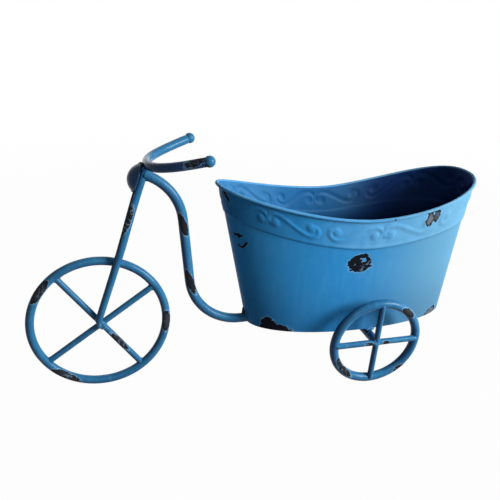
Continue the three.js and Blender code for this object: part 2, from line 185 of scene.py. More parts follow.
# %% [markdown]
# A bent bar is a circle carried along a path. At each point of the path the circle needs two directions
# at right angles to the path's heading. A fixed direction that the path never runs along gives both, and
# unlike a curve's own twist it never turns. A little slow waviness goes into every radius.

# %% Bars along a path
BAR_SIDES = 36
WAVE_LENGTH, WAVE_HEIGHT, SMOOTH_TIP = 14, 0.06, 1
DOME_STEPS, DOME_TURN = 6, 84


def round_ends(path, radius, end=True):
    """Adds circles that shrink by a cosine past the start and the end of a path, so that the bar ends in
    a dome of its own radius."""
    path = np.asarray(path, float)
    radius = np.broadcast_to(np.asarray(radius, float), len(path))
    turn = np.linspace(0, DOME_TURN, DOME_STEPS + 1)[1:] * DEGREE
    dome = path[0] + radius[0] * np.sin(turn)[:, None] * unit(path[0] - path[1])
    parts = [(dome[::-1], radius[0] * np.cos(turn)[::-1]), (path, radius)]
    if end:
        dome = path[-1] + radius[-1] * np.sin(turn)[:, None] * unit(path[-1] - path[-2])
        parts.append((dome, radius[-1] * np.cos(turn)))
    return np.concatenate([p for p, _ in parts]), np.concatenate([r for _, r in parts])


def circle_turns(sides):
    """Evenly spaced angles round a circle, set along the second axis of a grid of points."""
    return np.linspace(0, 2 * math.pi, sides, endpoint=False)[None, :, None]


def bar_rings(path, radius, reference, endless=False, wavy=WAVE_HEIGHT, seed=1):
    """Circles along a path. Across is the reference less its part along the heading, and the third
    direction is their cross product. The radius swells and shrinks by the wavy amount, except at a tip."""
    path = np.asarray(path, float)
    if endless:
        heading = unit(np.roll(path, -1, axis=0) - np.roll(path, 1, axis=0))
    else:
        heading = unit(np.gradient(path, axis=0))
    across = unit(reference - (heading @ reference)[:, None] * heading)
    third = np.cross(heading, across)
    turn = circle_turns(BAR_SIDES)
    direction = np.cos(turn) * across[:, None] + np.sin(turn) * third[:, None]
    size = np.broadcast_to(np.asarray(radius, float), len(path))[:, None, None]
    middle = path[:, None] + size * direction
    swell = (wavy * waves(middle, WAVE_LENGTH, seed))[..., None]
    return middle + direction * swell * (size > SMOOTH_TIP)


def resampled(path, step):
    """The same path with points at equal distances, read off by its running length."""
    path = np.asarray(path, float)
    length = np.concatenate([[0], np.cumsum(np.linalg.norm(np.diff(path, axis=0), axis=1))])
    places = np.linspace(0, length[-1], max(int(length[-1] / step), 2) + 1)
    return np.stack([np.interp(places, length, path[:, k]) for k in range(3)], axis=-1)


print("a bar has", BAR_SIDES, "sides, and its radius wanders by up to", WAVE_HEIGHT, "mm")

# %% [markdown]
# The balls, the lamp and the lumps of weld are turned shapes: a profile goes once round an axis. Blender's
# Spin tool does the same, but the rings of points are needed here as well, for the marks of wear.

# %% Turned shapes
ASLANT = Y_AXIS + 0.3 * Z_AXIS
TURNED_SIDES = 48


def revolved(profile, base, axis, sides=TURNED_SIDES):
    """Circles about an axis through a base point: each profile row gives a radius and a distance. The
    slanting direction, which no axis here has, gives the directions across by cross products."""
    axis = unit(np.asarray(axis, float))
    across = unit(np.cross(axis, ASLANT))
    third = np.cross(axis, across)
    turn = circle_turns(sides)
    radius, distance = (np.asarray(profile, float)[:, k, None, None] for k in range(2))
    return base + distance * axis + radius * (np.cos(turn) * across + np.sin(turn) * third)


def oval_profile(half_length, half_width, first, steps):
    """Half an ellipse from near one pole to near the other: a sine across and minus a cosine along."""
    turn = np.linspace(first, 180 - first, steps) * DEGREE
    return np.stack([half_width * np.sin(turn), -half_length * np.cos(turn)], axis=-1)


print("turned shapes have", TURNED_SIDES, "sides unless a piece says otherwise")

# %% [markdown]
# The paint was chipped by hand in chosen places. A mask could be painted by hand too, but a few ovals say
# it in numbers. A chip is a patch with a centre, a long direction and two half sizes. Each point keeps how
# deep it lies in the nearest patch, from 1 in its middle to 0 on its outline and below 0 outside, and the
# material breaks that soft outline up with noise. A fifth number says how far the primer is rubbed grey.

# %% Chipped patches
NO_CHIP = -2.0


def patch_depth(points, patch):
    """One less the distance to the patch's centre, in half lengths along it and half widths across it."""
    centre, along, half_length, half_width = patch[:4]
    offset = points - np.asarray(centre, float)
    run = offset @ unit(np.asarray(along, float))
    across2 = np.maximum((offset**2).sum(axis=-1) - run**2, 0)
    return 1 - np.sqrt((run / half_length) ** 2 + across2 / half_width**2)


def chip_marks(points, chips=()):
    """Depth in the deepest patch, and how scraped that patch is."""
    depth = np.full(points.shape[:-1], NO_CHIP)
    scraped = np.zeros_like(depth)
    for patch in chips:
        here = patch_depth(points, patch)
        scraped = np.where(here > depth, patch[4], scraped)
        depth = np.maximum(depth, here)
    return {"chip": depth, "scraped": scraped}


print("depth on a patch's outline:", patch_depth(2.0 * X_AXIS, (0 * X_AXIS, X_AXIS, 2.0, 1.0)))

# %% [markdown]
# The bars' front and under sides are darkened with painted shade. It is one more number on each point, worked
# out from where the point lies round its bar, so that it follows every bend.

# %% Painted shade on one side of a bar
SHADED_SIDE = unit(np.array([-0.8, 0.0, -0.6]))
SHADE_MOST, SHADE_FROM, SHADE_TO = 0.75, -0.35, 0.85
TINY = 1e-6


def painted_shade_side(rings):
    """Painted shade: a smooth step of the cosine between the shaded side and each point's direction from the
    middle of its ring."""
    facing = rings - rings.mean(axis=1, keepdims=True)
    facing = facing / np.maximum(np.linalg.norm(facing, axis=-1, keepdims=True), TINY)
    return SHADE_MOST * smooth_step(facing @ SHADED_SIDE, SHADE_FROM, SHADE_TO)


def bar_marks(rings, chips=()):
    """The painted shade and the chips of a plain bar."""
    return {"painted_shade": painted_shade_side(rings), **chip_marks(rings, chips)}


# The darkest painted shade covers this share of the blue.
print("the darkest wash covers", SHADE_MOST, "of the blue")

# %% [markdown]
# The finish is the main thing to get right. Real distressed paint is not one colour: the blue is a little
# thicker and darker in some places, and knocks go through to black primer. On top of that, painted shade
# darkens hollows and shaded sides, and painted light makes lit places paler. It could be painted as pictures,
# one for each piece. Here every part of it is a node instead, so it has no seams and no resolution, and it
# can be tuned by one number at a time.

# %% Small helpers that keep the node code short
def cleared_tree(owner):
    """The node tree of a new material or world, without the nodes that Blender puts there."""
    owner.use_nodes = True
    owner.node_tree.nodes.clear()
    return owner.node_tree


def add_node(tree, kind, inputs=None, **settings):
    """A node of a kind, with its settings, and its inputs given as values or as sockets to link."""
    made = tree.nodes.new(kind)
    for setting, value in settings.items():
        setattr(made, setting, value)
    for socket, value in (inputs or {}).items():
        if isinstance(value, bpy.types.NodeSocket):
            tree.links.new(value, made.inputs[socket])
        else:
            made.inputs[socket].default_value = value
    return made


def noise(tree, place, scale, detail=3.0, roughness=0.55, distortion=0.0):
    """Noise at a place, about 0 to 1; scale counts its bumps in a metre."""
    inputs = {"Vector": place, "Scale": scale, "Detail": detail}
    inputs.update({"Roughness": roughness, "Distortion": distortion})
    return add_node(tree, "ShaderNodeTexNoise", inputs).outputs["Fac"]


def math_node(tree, operation, a, b, clamp=False):
    """One arithmetic step between two values or sockets."""
    return add_node(tree, "ShaderNodeMath", {0: a, 1: b}, operation=operation, use_clamp=clamp).outputs[0]


def ramp(tree, value, span):
    """A soft step from 0 at the span's first value to 1 at its second."""
    inputs = {"Value": value, "From Min": span[0], "From Max": span[1]}
    kind = "ShaderNodeMapRange"
    return add_node(tree, kind, inputs, interpolation_type="SMOOTHSTEP", clamp=True).outputs["Result"]


def share_of(tree, most, value, span):
    """A soft step over a span, times the most that it may reach."""
    return math_node(tree, "MULTIPLY", most, ramp(tree, value, span), clamp=True)


def spread(tree, value, low, high):
    """A value from 0 to 1 stretched to run from low to high."""
    inputs = {"Value": value, "To Min": low, "To Max": high}
    return add_node(tree, "ShaderNodeMapRange", inputs).outputs["Result"]


def mix(tree, share, a, b):
    """Colour b over colour a by a share."""
    return add_node(tree, "ShaderNodeMix", {0: share, 6: a, 7: b}, data_type="RGBA").outputs[2]


def point_mark(tree, name):
    """The number that the points of a piece keep under a name."""
    return add_node(tree, "ShaderNodeAttribute", attribute_name=name).outputs["Fac"]


print("node helpers are ready")

# %% [markdown]
# The blue itself was sprayed thin. It drifts between a deep and a plain tone, has faint upright streaks where
# it ran, and is mottled a little. Towards the rear end of the tub it is paler, a painted sheen where the key
# lamp lights the wall. All of it is noise on the object's own coordinates, so that it runs on from piece to
# piece.

# %% The blue coat
TUB_BLUES = ((0.016, 0.180, 0.450, 1), (0.025, 0.232, 0.530, 1), (0.062, 0.305, 0.600, 1))
BAR_BLUES = ((0.009, 0.080, 0.207, 1), (0.022, 0.151, 0.305, 1), (0.070, 0.243, 0.396, 1))
REAR_SHEEN_BLUE = (0.092, 0.258, 0.400, 1)
DRIFT_SCALE, MOTTLE_SCALE, STREAK_SCALE = 16.0, 95.0, 170.0
CLOUD_SPAN, REAR_SHEEN_SPAN = (0.35, 0.70), (0.07, 0.185)
STREAK_SPAN, STREAK_SHARE, STREAK_STRETCH = (0.40, 0.75), 0.30, (1, 1, 0.12)
MOTTLE_SPAN, MOTTLE_SHARE = (0.45, 0.85), 0.22


def coat_noises(tree):
    """The coordinates, and the noises that several parts of the paint share: slow drift and mottle."""
    place = add_node(tree, "ShaderNodeTexCoord").outputs["Object"]
    drift = noise(tree, place, DRIFT_SCALE)
    return place, drift, noise(tree, place, MOTTLE_SCALE, detail=4.0, roughness=0.6)


def blue_coat(tree, place, drift, mottle, blues, drift_share, rear_sheen):
    """Deep blue over plain blue by the drift, then pale blue by streaks and mottle, and last the rear end's
    painted sheen by the distance along the bicycle."""
    deep_blue, plain_blue, pale_blue = blues
    inputs = {"Vector": place, "Scale": STREAK_STRETCH}
    upright = add_node(tree, "ShaderNodeMapping", inputs).outputs["Vector"]
    streaks = noise(tree, upright, STREAK_SCALE)
    run = add_node(tree, "ShaderNodeSeparateXYZ", {"Vector": place}).outputs["X"]
    colour = mix(tree, share_of(tree, drift_share, drift, CLOUD_SPAN), plain_blue, deep_blue)
    colour = mix(tree, share_of(tree, STREAK_SHARE, streaks, STREAK_SPAN), colour, pale_blue)
    colour = mix(tree, share_of(tree, MOTTLE_SHARE, mottle, MOTTLE_SPAN), colour, pale_blue)
    return mix(tree, share_of(tree, rear_sheen, run, REAR_SHEEN_SPAN), colour, REAR_SHEEN_BLUE)


print("plain blue of the tub and of the bars:", TUB_BLUES[1][:3], BAR_BLUES[1][:3])

# %% [markdown]
# Two marks lie over the coat. Navy painted shade darkens hollows, undersides and shaded sides. Pale blue is
# painted light on the lit, raised parts of the tub and real wear on the handlebar's bend. The points say
# where, and the mottle breaks both up.

# %% Painted shade, painted light and wear
SHADE_NAVY = (0.003, 0.020, 0.100, 1)
WEAR_AND_LIGHT_BLUE = (0.170, 0.430, 0.680, 1)
SHADE_SPAN, WEAR_AND_LIGHT_SPAN = (-0.5, 0.2), (-0.2, 0.9)


def shade_light_and_wear(tree, colour, mottle):
    """Navy painted shade by the points' painted_shade mark, and pale blue by their wear_and_light mark, which
    is painted light on the tub and real wear on the handlebar, each times a step of the mottle.
    """
    colour = mix(tree, share_of(tree, point_mark(tree, "painted_shade"), mottle, SHADE_SPAN), colour, SHADE_NAVY)
    return mix(tree, share_of(tree, point_mark(tree, "wear_and_light"), mottle, WEAR_AND_LIGHT_SPAN), colour, WEAR_AND_LIGHT_BLUE)


# The print names the mark of painted shade and the mark of painted light and wear.
print("wash and wear read the marks hollow and worn")

# %% [markdown]
# A chip goes through to the primer, which is almost black with a brown cast. Noise makes its outline ragged,
# scraps of blue cling inside it, a file left it grey where it was scraped, and fine pale scratches cross it.
# A thin pale line along its edge, where the coat feathers out, is a painted highlight of that edge catching
# the light.

# %% Chips down to the primer
PRIMER_BLACK = (0.002, 0.004, 0.008, 1)
PRIMER_BROWN = (0.013, 0.012, 0.018, 1)
SCRAPED_GREY = (0.105, 0.118, 0.138, 1)
SCRATCH_PALE = (0.110, 0.190, 0.270, 1)
CHIP_EDGE_HIGHLIGHT = (0.230, 0.450, 0.640, 1)
RAGGED_SCALE, SCRAP_SCALE, GRAIN_SCALE, SCRATCH_SCALE = 240.0, 420.0, 900.0, 90.0
CHIPPED_SPAN, EDGE_HIGHLIGHT_SPAN, EDGE_HIGHLIGHT_SHARE = (0.12, 0.16), (-0.04, 0.10), 0.42
SCRAP_SPAN, SCRAP_SHARE = (0.72, 0.75), 0.9
GRAIN_SPAN, RUB_SPAN = (0.35, 0.75), (0.22, 0.55)
SCRATCH_AREA, SCRATCH_LINE, SCRATCH_SHARE = (0.46, 0.52), (0.012, 0.028), 0.8


def chip_reach(tree, place, raggedness):
    """The points' chip mark, moved up and down by noise about its middle."""
    ragged = noise(tree, place, RAGGED_SCALE, detail=4.0, roughness=0.58, distortion=0.5)
    broken = math_node(tree, "MULTIPLY", math_node(tree, "SUBTRACT", ragged, 0.5), raggedness)
    return math_node(tree, "ADD", point_mark(tree, "chip"), broken)


def primer_colour(tree, place, drift, reach):
    """Black and brown by a fine grain, grey by the scraped mark in the middle of a chip, and pale along
    the line where a slow noise passes its middle value."""
    grain = ramp(tree, noise(tree, place, GRAIN_SCALE, detail=2.0), GRAIN_SPAN)
    primer = mix(tree, grain, PRIMER_BLACK, PRIMER_BROWN)
    primer = mix(tree, share_of(tree, point_mark(tree, "scraped"), reach, RUB_SPAN), primer, SCRAPED_GREY)
    wander = noise(tree, place, SCRATCH_SCALE, detail=0.0, distortion=1.5)
    off_line = math_node(tree, "ABSOLUTE", math_node(tree, "SUBTRACT", wander, 0.5), 0.0)
    area, line = ramp(tree, drift, SCRATCH_AREA), ramp(tree, off_line, SCRATCH_LINE)
    scratch = math_node(tree, "SUBTRACT", area, line, clamp=True)
    return mix(tree, math_node(tree, "MULTIPLY", scratch, SCRATCH_SHARE), primer, SCRATCH_PALE)


def bare_share(tree, place, reach):
    """1 where a chip reaches, less the scraps of blue that cling to it."""
    curly = noise(tree, place, SCRAP_SCALE, detail=3.0, roughness=0.6, distortion=1.5)
    kept = math_node(tree, "MULTIPLY", ramp(tree, curly, SCRAP_SPAN), SCRAP_SHARE)
    return math_node(tree, "SUBTRACT", ramp(tree, reach, CHIPPED_SPAN), kept, clamp=True)


print("a chip's outline lies where its reach passes", CHIPPED_SPAN)

# %% [markdown]
# The whole paint puts these together. The coat is satin and a little uneven, the primer is matt, and a
# chip lies lower than the coat round it, which a bump says without a finer mesh. The bars are glossier,
# darker and cloudier than the tub, so they get their own numbers.

# %% The blue paint of the bars and of the tub
ROUGH_SPREAD, PRIMER_ROUGHER = 0.06, 0.4
PEEL_SCALE, PEEL_SHARE = 300.0, 0.02
BUMP_STRENGTH, COAT_THICKNESS, PAINT_IOR = 0.6, 0.0003, 1.45


def blue_paint(name, blues, roughness, gloss, drift_share, raggedness, rear_sheen=0.0):
    """Coat, painted shade, painted light and wear, with the chips over them. The share of drift sets how
    cloudy the blue is, raggedness how far noise moves a chip's outline, and rear_sheen how far a painted
    sheen pales the coat towards the rear."""
    material = bpy.data.materials.new(name)
    tree = cleared_tree(material)
    place, drift, mottle = coat_noises(tree)
    colour = blue_coat(tree, place, drift, mottle, blues, drift_share, rear_sheen)
    colour = shade_light_and_wear(tree, colour, mottle)
    reach = chip_reach(tree, place, raggedness)
    bare = bare_share(tree, place, reach)
    # Painted highlight: a pale line along each chip's outline.
    edge = math_node(tree, "MULTIPLY", ramp(tree, reach, EDGE_HIGHLIGHT_SPAN), EDGE_HIGHLIGHT_SHARE)
    colour = mix(tree, edge, colour, CHIP_EDGE_HIGHLIGHT)
    colour = mix(tree, bare, colour, primer_colour(tree, place, drift, reach))
    satin = spread(tree, mottle, roughness - ROUGH_SPREAD, roughness + ROUGH_SPREAD)
    rough = math_node(tree, "ADD", satin, math_node(tree, "MULTIPLY", bare, PRIMER_ROUGHER))
    peel = math_node(tree, "MULTIPLY", noise(tree, place, PEEL_SCALE, detail=2.0), PEEL_SHARE)
    inputs = {"Strength": BUMP_STRENGTH, "Distance": COAT_THICKNESS}
    inputs["Height"] = math_node(tree, "SUBTRACT", peel, bare)
    bump = add_node(tree, "ShaderNodeBump", inputs).outputs["Normal"]
    inputs = {"Base Color": colour, "Roughness": rough, "Normal": bump}
    inputs.update({"IOR": PAINT_IOR, "Specular IOR Level": gloss})
    shader = add_node(tree, "ShaderNodeBsdfPrincipled", inputs)
    add_node(tree, "ShaderNodeOutputMaterial", {"Surface": shader.outputs["BSDF"]})
    print(f"{name}: {len(tree.nodes)} nodes")
    return material


BAR_PAINT = blue_paint("bar_paint", BAR_BLUES, roughness=0.27, gloss=0.15, drift_share=0.5, raggedness=0.7)
TUB_PAINT = blue_paint(
    "tub_paint", TUB_BLUES, roughness=0.48, gloss=0.06, drift_share=0.2, raggedness=1.0, rear_sheen=1.0
)

# %% [markdown]
# The tub's bead is rolled round a steel wire, which shows at most as a glint in the curl. The CAD's own
# wire is fine enough, so it keeps its mesh and only gets a finish of dull zinc.

# %% Zinc of the wire in the bead
ZINC_DARK, ZINC_LIGHT = (0.30, 0.32, 0.34, 1), (0.52, 0.54, 0.56, 1)
ZINC_SMOOTH, ZINC_ROUGH, SPANGLE_SCALE = 0.35, 0.6, 300.0


def zinc(name):
    """Dull galvanised steel whose colour and roughness vary together in small patches."""
    material = bpy.data.materials.new(name)
    tree = cleared_tree(material)
    place = add_node(tree, "ShaderNodeTexCoord").outputs["Object"]
    patch = noise(tree, place, SPANGLE_SCALE, detail=4.0)
    inputs = {"Base Color": mix(tree, patch, ZINC_DARK, ZINC_LIGHT), "Metallic": 1.0}
    inputs["Roughness"] = spread(tree, patch, ZINC_SMOOTH, ZINC_ROUGH)
    shader = add_node(tree, "ShaderNodeBsdfPrincipled", inputs)
    add_node(tree, "ShaderNodeOutputMaterial", {"Surface": shader.outputs["BSDF"]})
    return material


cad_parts["rim_wire"].data.materials.clear()
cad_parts["rim_wire"].data.materials.append(zinc("zinc_wire"))
print("rim_wire is zinc")

# %% [markdown]
# Every joint is welded, and the welder didn't grind anything flush, so each joint keeps a small lump. A
# sculpted lump would be nearer to life, but at a few millimetres an ellipsoid that waves swell and dent
# looks the same. Paint misses much of some lumps, so a chip mark makes them as bare as they are. The step
# that makes a lump names its half length and half width as a pair.

# %% Lumps of weld
LUMP_SWELL, LUMP_WAVE, LUMP_SIDES = 0.2, 5.0, 32


def weld(name, place, along, half_length, half_width, bare=-0.25, seed=1):
    """An ellipsoid of two half sizes about its long direction, pushed in and out by up to a fifth."""
    profile = oval_profile(half_length, half_width, first=3, steps=26)
    rings = revolved(profile, np.asarray(place, float), along, sides=LUMP_SIDES)
    swell = LUMP_SWELL * half_width * waves(rings, LUMP_WAVE, seed)
    rings = rings + swell[..., None] * unit(rings - place)
    return skin_piece(name, rings, BAR_PAINT, marks={"chip": bare})


print("lumps of weld are made where their pieces meet, below")

# %% [markdown]
# The front wheel stands upright and the rear wheels lean out at the top. A wheel has its own directions:
# along the bicycle, outwards on its side, and up in its plane. A torus would do for the ring, but it would
# have to be turned and moved. A circle of bar in the wheel's own directions is in its place at once.

# %% Wheel directions
FRONT_BAR, REAR_BAR, REAR_LEAN = 4.2, 4.6, 5.8


def wheel_directions(side, lean):
    """Outwards and up for a wheel that leans by some degrees: the axes Y and Z turned about X."""
    out = np.array([0, side * math.cos(lean * DEGREE), -math.sin(lean * DEGREE)])
    up = np.array([0, side * math.sin(lean * DEGREE), math.cos(lean * DEGREE)])
    return out, up


def on_wheel(wheel, x, outwards, z):
    """A point given along the bicycle, outwards and up in the wheel's plane, from its hub."""
    parts = np.asarray(x, float)[..., None] * X_AXIS + np.asarray(z, float)[..., None] * wheel["up"]
    return wheel["hub"] + parts + np.asarray(outwards, float)[..., None] * wheel["out"]


def measured_wheel(node, bar, side, lean, crossing):
    """Hub and ring radius come from the CAD ring's box, so that the finer ring fills the same space. The
    crossing says where the spokes meet, from the hub, and the two spokes' angles."""
    middle, half = box_mm(node)
    out, up = wheel_directions(side, lean)
    wheel = {"hub": middle - hub_shift * X_AXIS, "out": out, "up": up}
    return {**wheel, "bar": bar, "radius": half[0] - bar, "crossing": crossing}


front_crossing = {"back": 1.6, "down": 1.2, "out": 0, "long": 127.3, "half": 34.9}
front_wheel = measured_wheel("front_ring", FRONT_BAR, -1, 0, front_crossing)
rear_crossing = {"back": 0, "down": -0.8, "out": 2.5, "long": 89.5, "half": 0}
rear_wheels = {
    side_name: measured_wheel(f"rear_ring_{side_name}", REAR_BAR, side, REAR_LEAN, rear_crossing)
    for side_name, side in (("left", -1), ("right", 1))
}
print("front ring's radius", round(front_wheel["radius"], 2), "mm")

# %% [markdown]
# Each ring is one bar bent round and welded shut. Knocks took the paint off its outer face in a few
# places. Every row below is one chip: its angle in the wheel's plane, how far it lies outwards from the
# bar's middle line as a share of the bar, its half length and half width, and how scraped it is.

# %% Wheel rings
RING_STEPS = 180
OUTER_FACE = 0.8
RING_CHIPS = {
    "front_ring": [(144, 0.2, 16, 5.5, 0.1), (357, -0.1, 14, 5, 0.2), (237, 0.1, 19, 5.5, 0.1)],
    "rear_ring_left": [
        (50, 0.0, 10, 4.5, 0.15),
        (224, -0.3, 13, 4.2, 0),
        (207, -0.4, 9, 3.5, 0),
        (311, 0.3, 8, 4, 0),
    ],
    "rear_ring_right": [(118, 0.3, 9, 4, 0.4), (290, 0.2, 12, 4, 0), (20, 0.5, 7, 3, 0.5)],
}


def ring_chip(wheel, angle, radial, half_length, half_width, scraped):
    """A chip on a ring's outer side face. Its long direction is the circle's own at that angle."""
    c, s = math.cos(angle * DEGREE), math.sin(angle * DEGREE)
    reach = wheel["radius"] + radial * wheel["bar"]
    centre = on_wheel(wheel, reach * c, OUTER_FACE * wheel["bar"], reach * s)
    return centre, c * wheel["up"] - s * X_AXIS, half_length, half_width, scraped


def wheel_ring(node, wheel, seed):
    """The ring's middle line is the hub plus a circle in the wheel's plane."""
    turn = np.linspace(0, 2 * math.pi, RING_STEPS, endpoint=False)
    path = on_wheel(wheel, wheel["radius"] * np.cos(turn), 0.0 * turn, wheel["radius"] * np.sin(turn))
    rings = bar_rings(path, wheel["bar"], wheel["out"], endless=True, seed=seed)
    chips = [ring_chip(wheel, *row) for row in RING_CHIPS[node]]
    return skin_piece(f"{node}_bar", rings, BAR_PAINT, [node], endless=True, marks=bar_marks(rings, chips))


wheel_ring("front_ring", front_wheel, seed=11)
wheel_ring("rear_ring_left", rear_wheels["left"], seed=12)
wheel_ring("rear_ring_right", rear_wheels["right"], seed=13)

# %% [markdown]
# The spokes are plain rod. One runs right across the ring and two halves butt against it, and there is
# no hub: a lump of weld holds the crossing, and the ends are welded to the ring's inner side. On the rear
# wheels the spokes lie a little outwards, so that their rounded ends lap over the ring's bar.

# %% One spoke
SPOKE_RADIUS, SPOKE_WAVY, SPOKE_STEP = 3.1, 0.05, 1.5


def spoke_point(wheel, angle, reach, lift=0.0):
    """The point at a distance out from the crossing along a spoke, lifted off its middle line."""
    crossing = wheel["crossing"]
    c, s = math.cos(angle * DEGREE), math.sin(angle * DEGREE)
    return on_wheel(wheel, crossing["back"] + reach * c, crossing["out"] + lift, reach * s - crossing["down"])


def spoke_end(wheel, angle, target):
    """The point of a spoke's line that lies target from the hub. Its reach from the crossing solves a
    quadratic, because the crossing isn't quite at the hub."""
    back, down = wheel["crossing"]["back"], wheel["crossing"]["down"]
    along = back * math.cos(angle * DEGREE) - down * math.sin(angle * DEGREE)
    return spoke_point(wheel, angle, math.sqrt(target**2 - back**2 - down**2 + along**2) - along)


def spoke(node, wheel, start, end, chips, seed):
    """A rod between two points with domed ends."""
    path, radius = round_ends(resampled([start, end], SPOKE_STEP), SPOKE_RADIUS)
    rings = bar_rings(path, radius, wheel["out"], wavy=SPOKE_WAVY, seed=seed)
    return skin_piece(f"{node}_rod", rings, BAR_PAINT, [node], marks=bar_marks(rings, chips))


def spoke_chip(wheel, angle, reach, half_length, half_width, scraped=0.0):
    """A chip on the outer face of a spoke, at a distance from the crossing."""
    centre = spoke_point(wheel, angle, reach, OUTER_FACE * SPOKE_RADIUS)
    along = math.cos(angle * DEGREE) * X_AXIS + math.sin(angle * DEGREE) * wheel["up"]
    return centre, along, half_length, half_width, scraped


print("spokes are", 2 * SPOKE_RADIUS, "mm rod")

# %% [markdown]
# A wheel's three rods and five lumps of weld go in together. The half rods stop a millimetre short of the
# crossing's point, where their domes lie against the long rod.

# %% Spokes and their welds on all three wheels
FRONT_LAP, REAR_LAP, HALF_START = 0.5, 2.6, 1.0
END_LUMP, END_LUMP_PAINTED, END_LUMP_INWARDS = (4.1, 1.9), -0.45, 0.4
FRONT_LUMP, FRONT_LUMP_OUT = (4.2, 5.2), 3.6
REAR_LUMP, REAR_LUMP_OUT = (3.6, 5.0), 0.2


def wheel_spokes(name, nodes, wheel, lap, chips, seed):
    """The long spoke and the two half spokes of one wheel, which lap over the ring by the given length,
    with a lump of weld at every end."""
    at_ring = wheel["radius"] - wheel["bar"]
    long_angle, half_angle = wheel["crossing"]["long"], wheel["crossing"]["half"]
    ends = [
        (spoke_end(wheel, long_angle + 180, at_ring + lap), spoke_end(wheel, long_angle, at_ring + lap)),
        *(
            (spoke_point(wheel, angle, HALF_START), spoke_end(wheel, angle, at_ring + lap))
            for angle in (half_angle, half_angle + 180)
        ),
    ]
    for k, (node, (start, end)) in enumerate(zip(nodes, ends)):
        spoke(node, wheel, start, end, chips[k], seed + k)
    for k, angle in enumerate((long_angle, long_angle + 180, half_angle, half_angle + 180)):
        heading = math.cos(angle * DEGREE) * X_AXIS + math.sin(angle * DEGREE) * wheel["up"]
        inwards = END_LUMP_INWARDS * wheel["crossing"]["out"] * wheel["out"]
        place = spoke_end(wheel, angle, at_ring) - inwards
        across = np.cross(heading, wheel["out"])
        weld(f"weld_{name}_end_{k + 1}", place, across, *END_LUMP, bare=END_LUMP_PAINTED, seed=seed + 40 + k)


nodes = ["front_spoke_long", "front_spoke_upper", "front_spoke_lower"]
chips = [[spoke_chip(front_wheel, -52.7, 27, 15, 4, 0.1)], [], []]
wheel_spokes("front", nodes, front_wheel, FRONT_LAP, chips, seed=21)
place = spoke_point(front_wheel, angle=0, reach=0, lift=FRONT_LUMP_OUT)
weld("weld_front_crossing", place, Y_AXIS, *FRONT_LUMP, bare=-0.05, seed=75)
for k, (side_name, wheel) in enumerate(rear_wheels.items()):
    nodes = [f"rear_spoke_{which}_{side_name}" for which in ("long", "back", "front")]
    chips = [[], [spoke_chip(wheel, 0, 10, 5, 2.4)], [spoke_chip(wheel, 180, 9, 6, 2.6)]]
    wheel_spokes(f"rear_{side_name}", nodes, wheel, REAR_LAP, chips, seed=31 + 7 * k)
    place = spoke_point(wheel, angle=0, reach=0, lift=REAR_LUMP_OUT)
    weld(f"weld_rear_crossing_{side_name}", place, wheel["out"], *REAR_LUMP, bare=-0.1, seed=78 + k)

# %% [markdown]
# The fork is one rod that tapers to its foot, where real bicycles have two. It passes the front ring on
# the left side, ends on the crossed spokes, and comes back to the middle of the bicycle below the lamp. A
# path with a radius at each point gives the bend and the taper at once.

# %% The fork's line
FORK_RAKE = 18.5 * DEGREE
FORK_LEAD = 2.6
FORK_FOOT, FORK_TOP, FORK_LENGTH = 5.0, 162.5, 156.6
FORK_FOOT_RADIUS, FORK_TOP_RADIUS = 3.4, 4.3
LAMP_DIAMETER, LAMP_DROP = 28.4, 4.8
SEAT_GAP = 0.3
fork_up = np.array([math.sin(FORK_RAKE), 0, math.cos(FORK_RAKE)])
fork_forward = np.array([-math.cos(FORK_RAKE), 0, math.sin(FORK_RAKE)])


def on_fork(distance):
    """The fork's axis in the middle plane, at a distance up from the hub."""
    return front_wheel["hub"] + FORK_LEAD * fork_forward + np.asarray(distance, float)[..., None] * fork_up


def fork_radius_at(distance):
    """The rod's radius, which grows evenly from the foot to the top."""
    return np.interp(distance, [FORK_FOOT, FORK_TOP], [FORK_FOOT_RADIUS, FORK_TOP_RADIUS])


def fork_aside(distance):
    """How far the rod stands to the left: it grows in a straight line from the spokes to the ring, and
    fades above the ring in a smooth step."""
    ring = front_wheel["radius"]
    at_ring = front_wheel["bar"] + SEAT_GAP + fork_radius_at(ring)
    at_hub = SPOKE_RADIUS + SEAT_GAP + fork_radius_at(FORK_FOOT)
    low = np.interp(distance, [FORK_FOOT, ring], [at_hub, at_ring])
    under_lamp = FORK_LENGTH - LAMP_DROP - LAMP_DIAMETER / 2
    fade = 1 - smooth_step(distance, ring + 2 * front_wheel["bar"], under_lamp)
    return np.where(distance < ring, low, at_ring * fade)


print("the fork passes the ring", round(float(fork_aside(front_wheel["radius"])), 2), "mm to the left")

# %% [markdown]
# The fork's paint is knocked off in one long streak down its front left side, where it met things first.
# Every row below is one chip: how far up from the hub, how many degrees round from the front towards the
# left, its half length and its half width.

# %% Fork rod
FORK_STEPS, FORK_UNDER_WELD = 130, 0.8


def fork_chip(distance, around, half_length, half_width, scraped=0.0):
    """A chip on the fork at a distance up from the hub, and at an angle round from its front to its left."""
    out = math.cos(around * DEGREE) * fork_forward - math.sin(around * DEGREE) * Y_AXIS
    centre = on_fork(distance) - fork_aside(distance) * Y_AXIS + fork_radius_at(distance) * out
    return centre, fork_up, half_length, half_width, scraped


fork_distance = np.linspace(FORK_FOOT, FORK_TOP + FORK_UNDER_WELD, FORK_STEPS)
fork_path = on_fork(fork_distance) - fork_aside(fork_distance)[:, None] * Y_AXIS
path, radius = round_ends(fork_path, fork_radius_at(fork_distance), end=False)
rings = bar_rings(path, radius, Y_AXIS, seed=41)
fork_rows = [(110, 30, 19, 6), (84, 10, 26, 2.4), (130, 15, 24, 2.4), (85, 200, 12, 3)]
fork_chips = [fork_chip(*row) for row in fork_rows]
skin_piece("fork_rod_bar", rings, BAR_PAINT, ["fork_rod"], marks=bar_marks(rings, fork_chips))

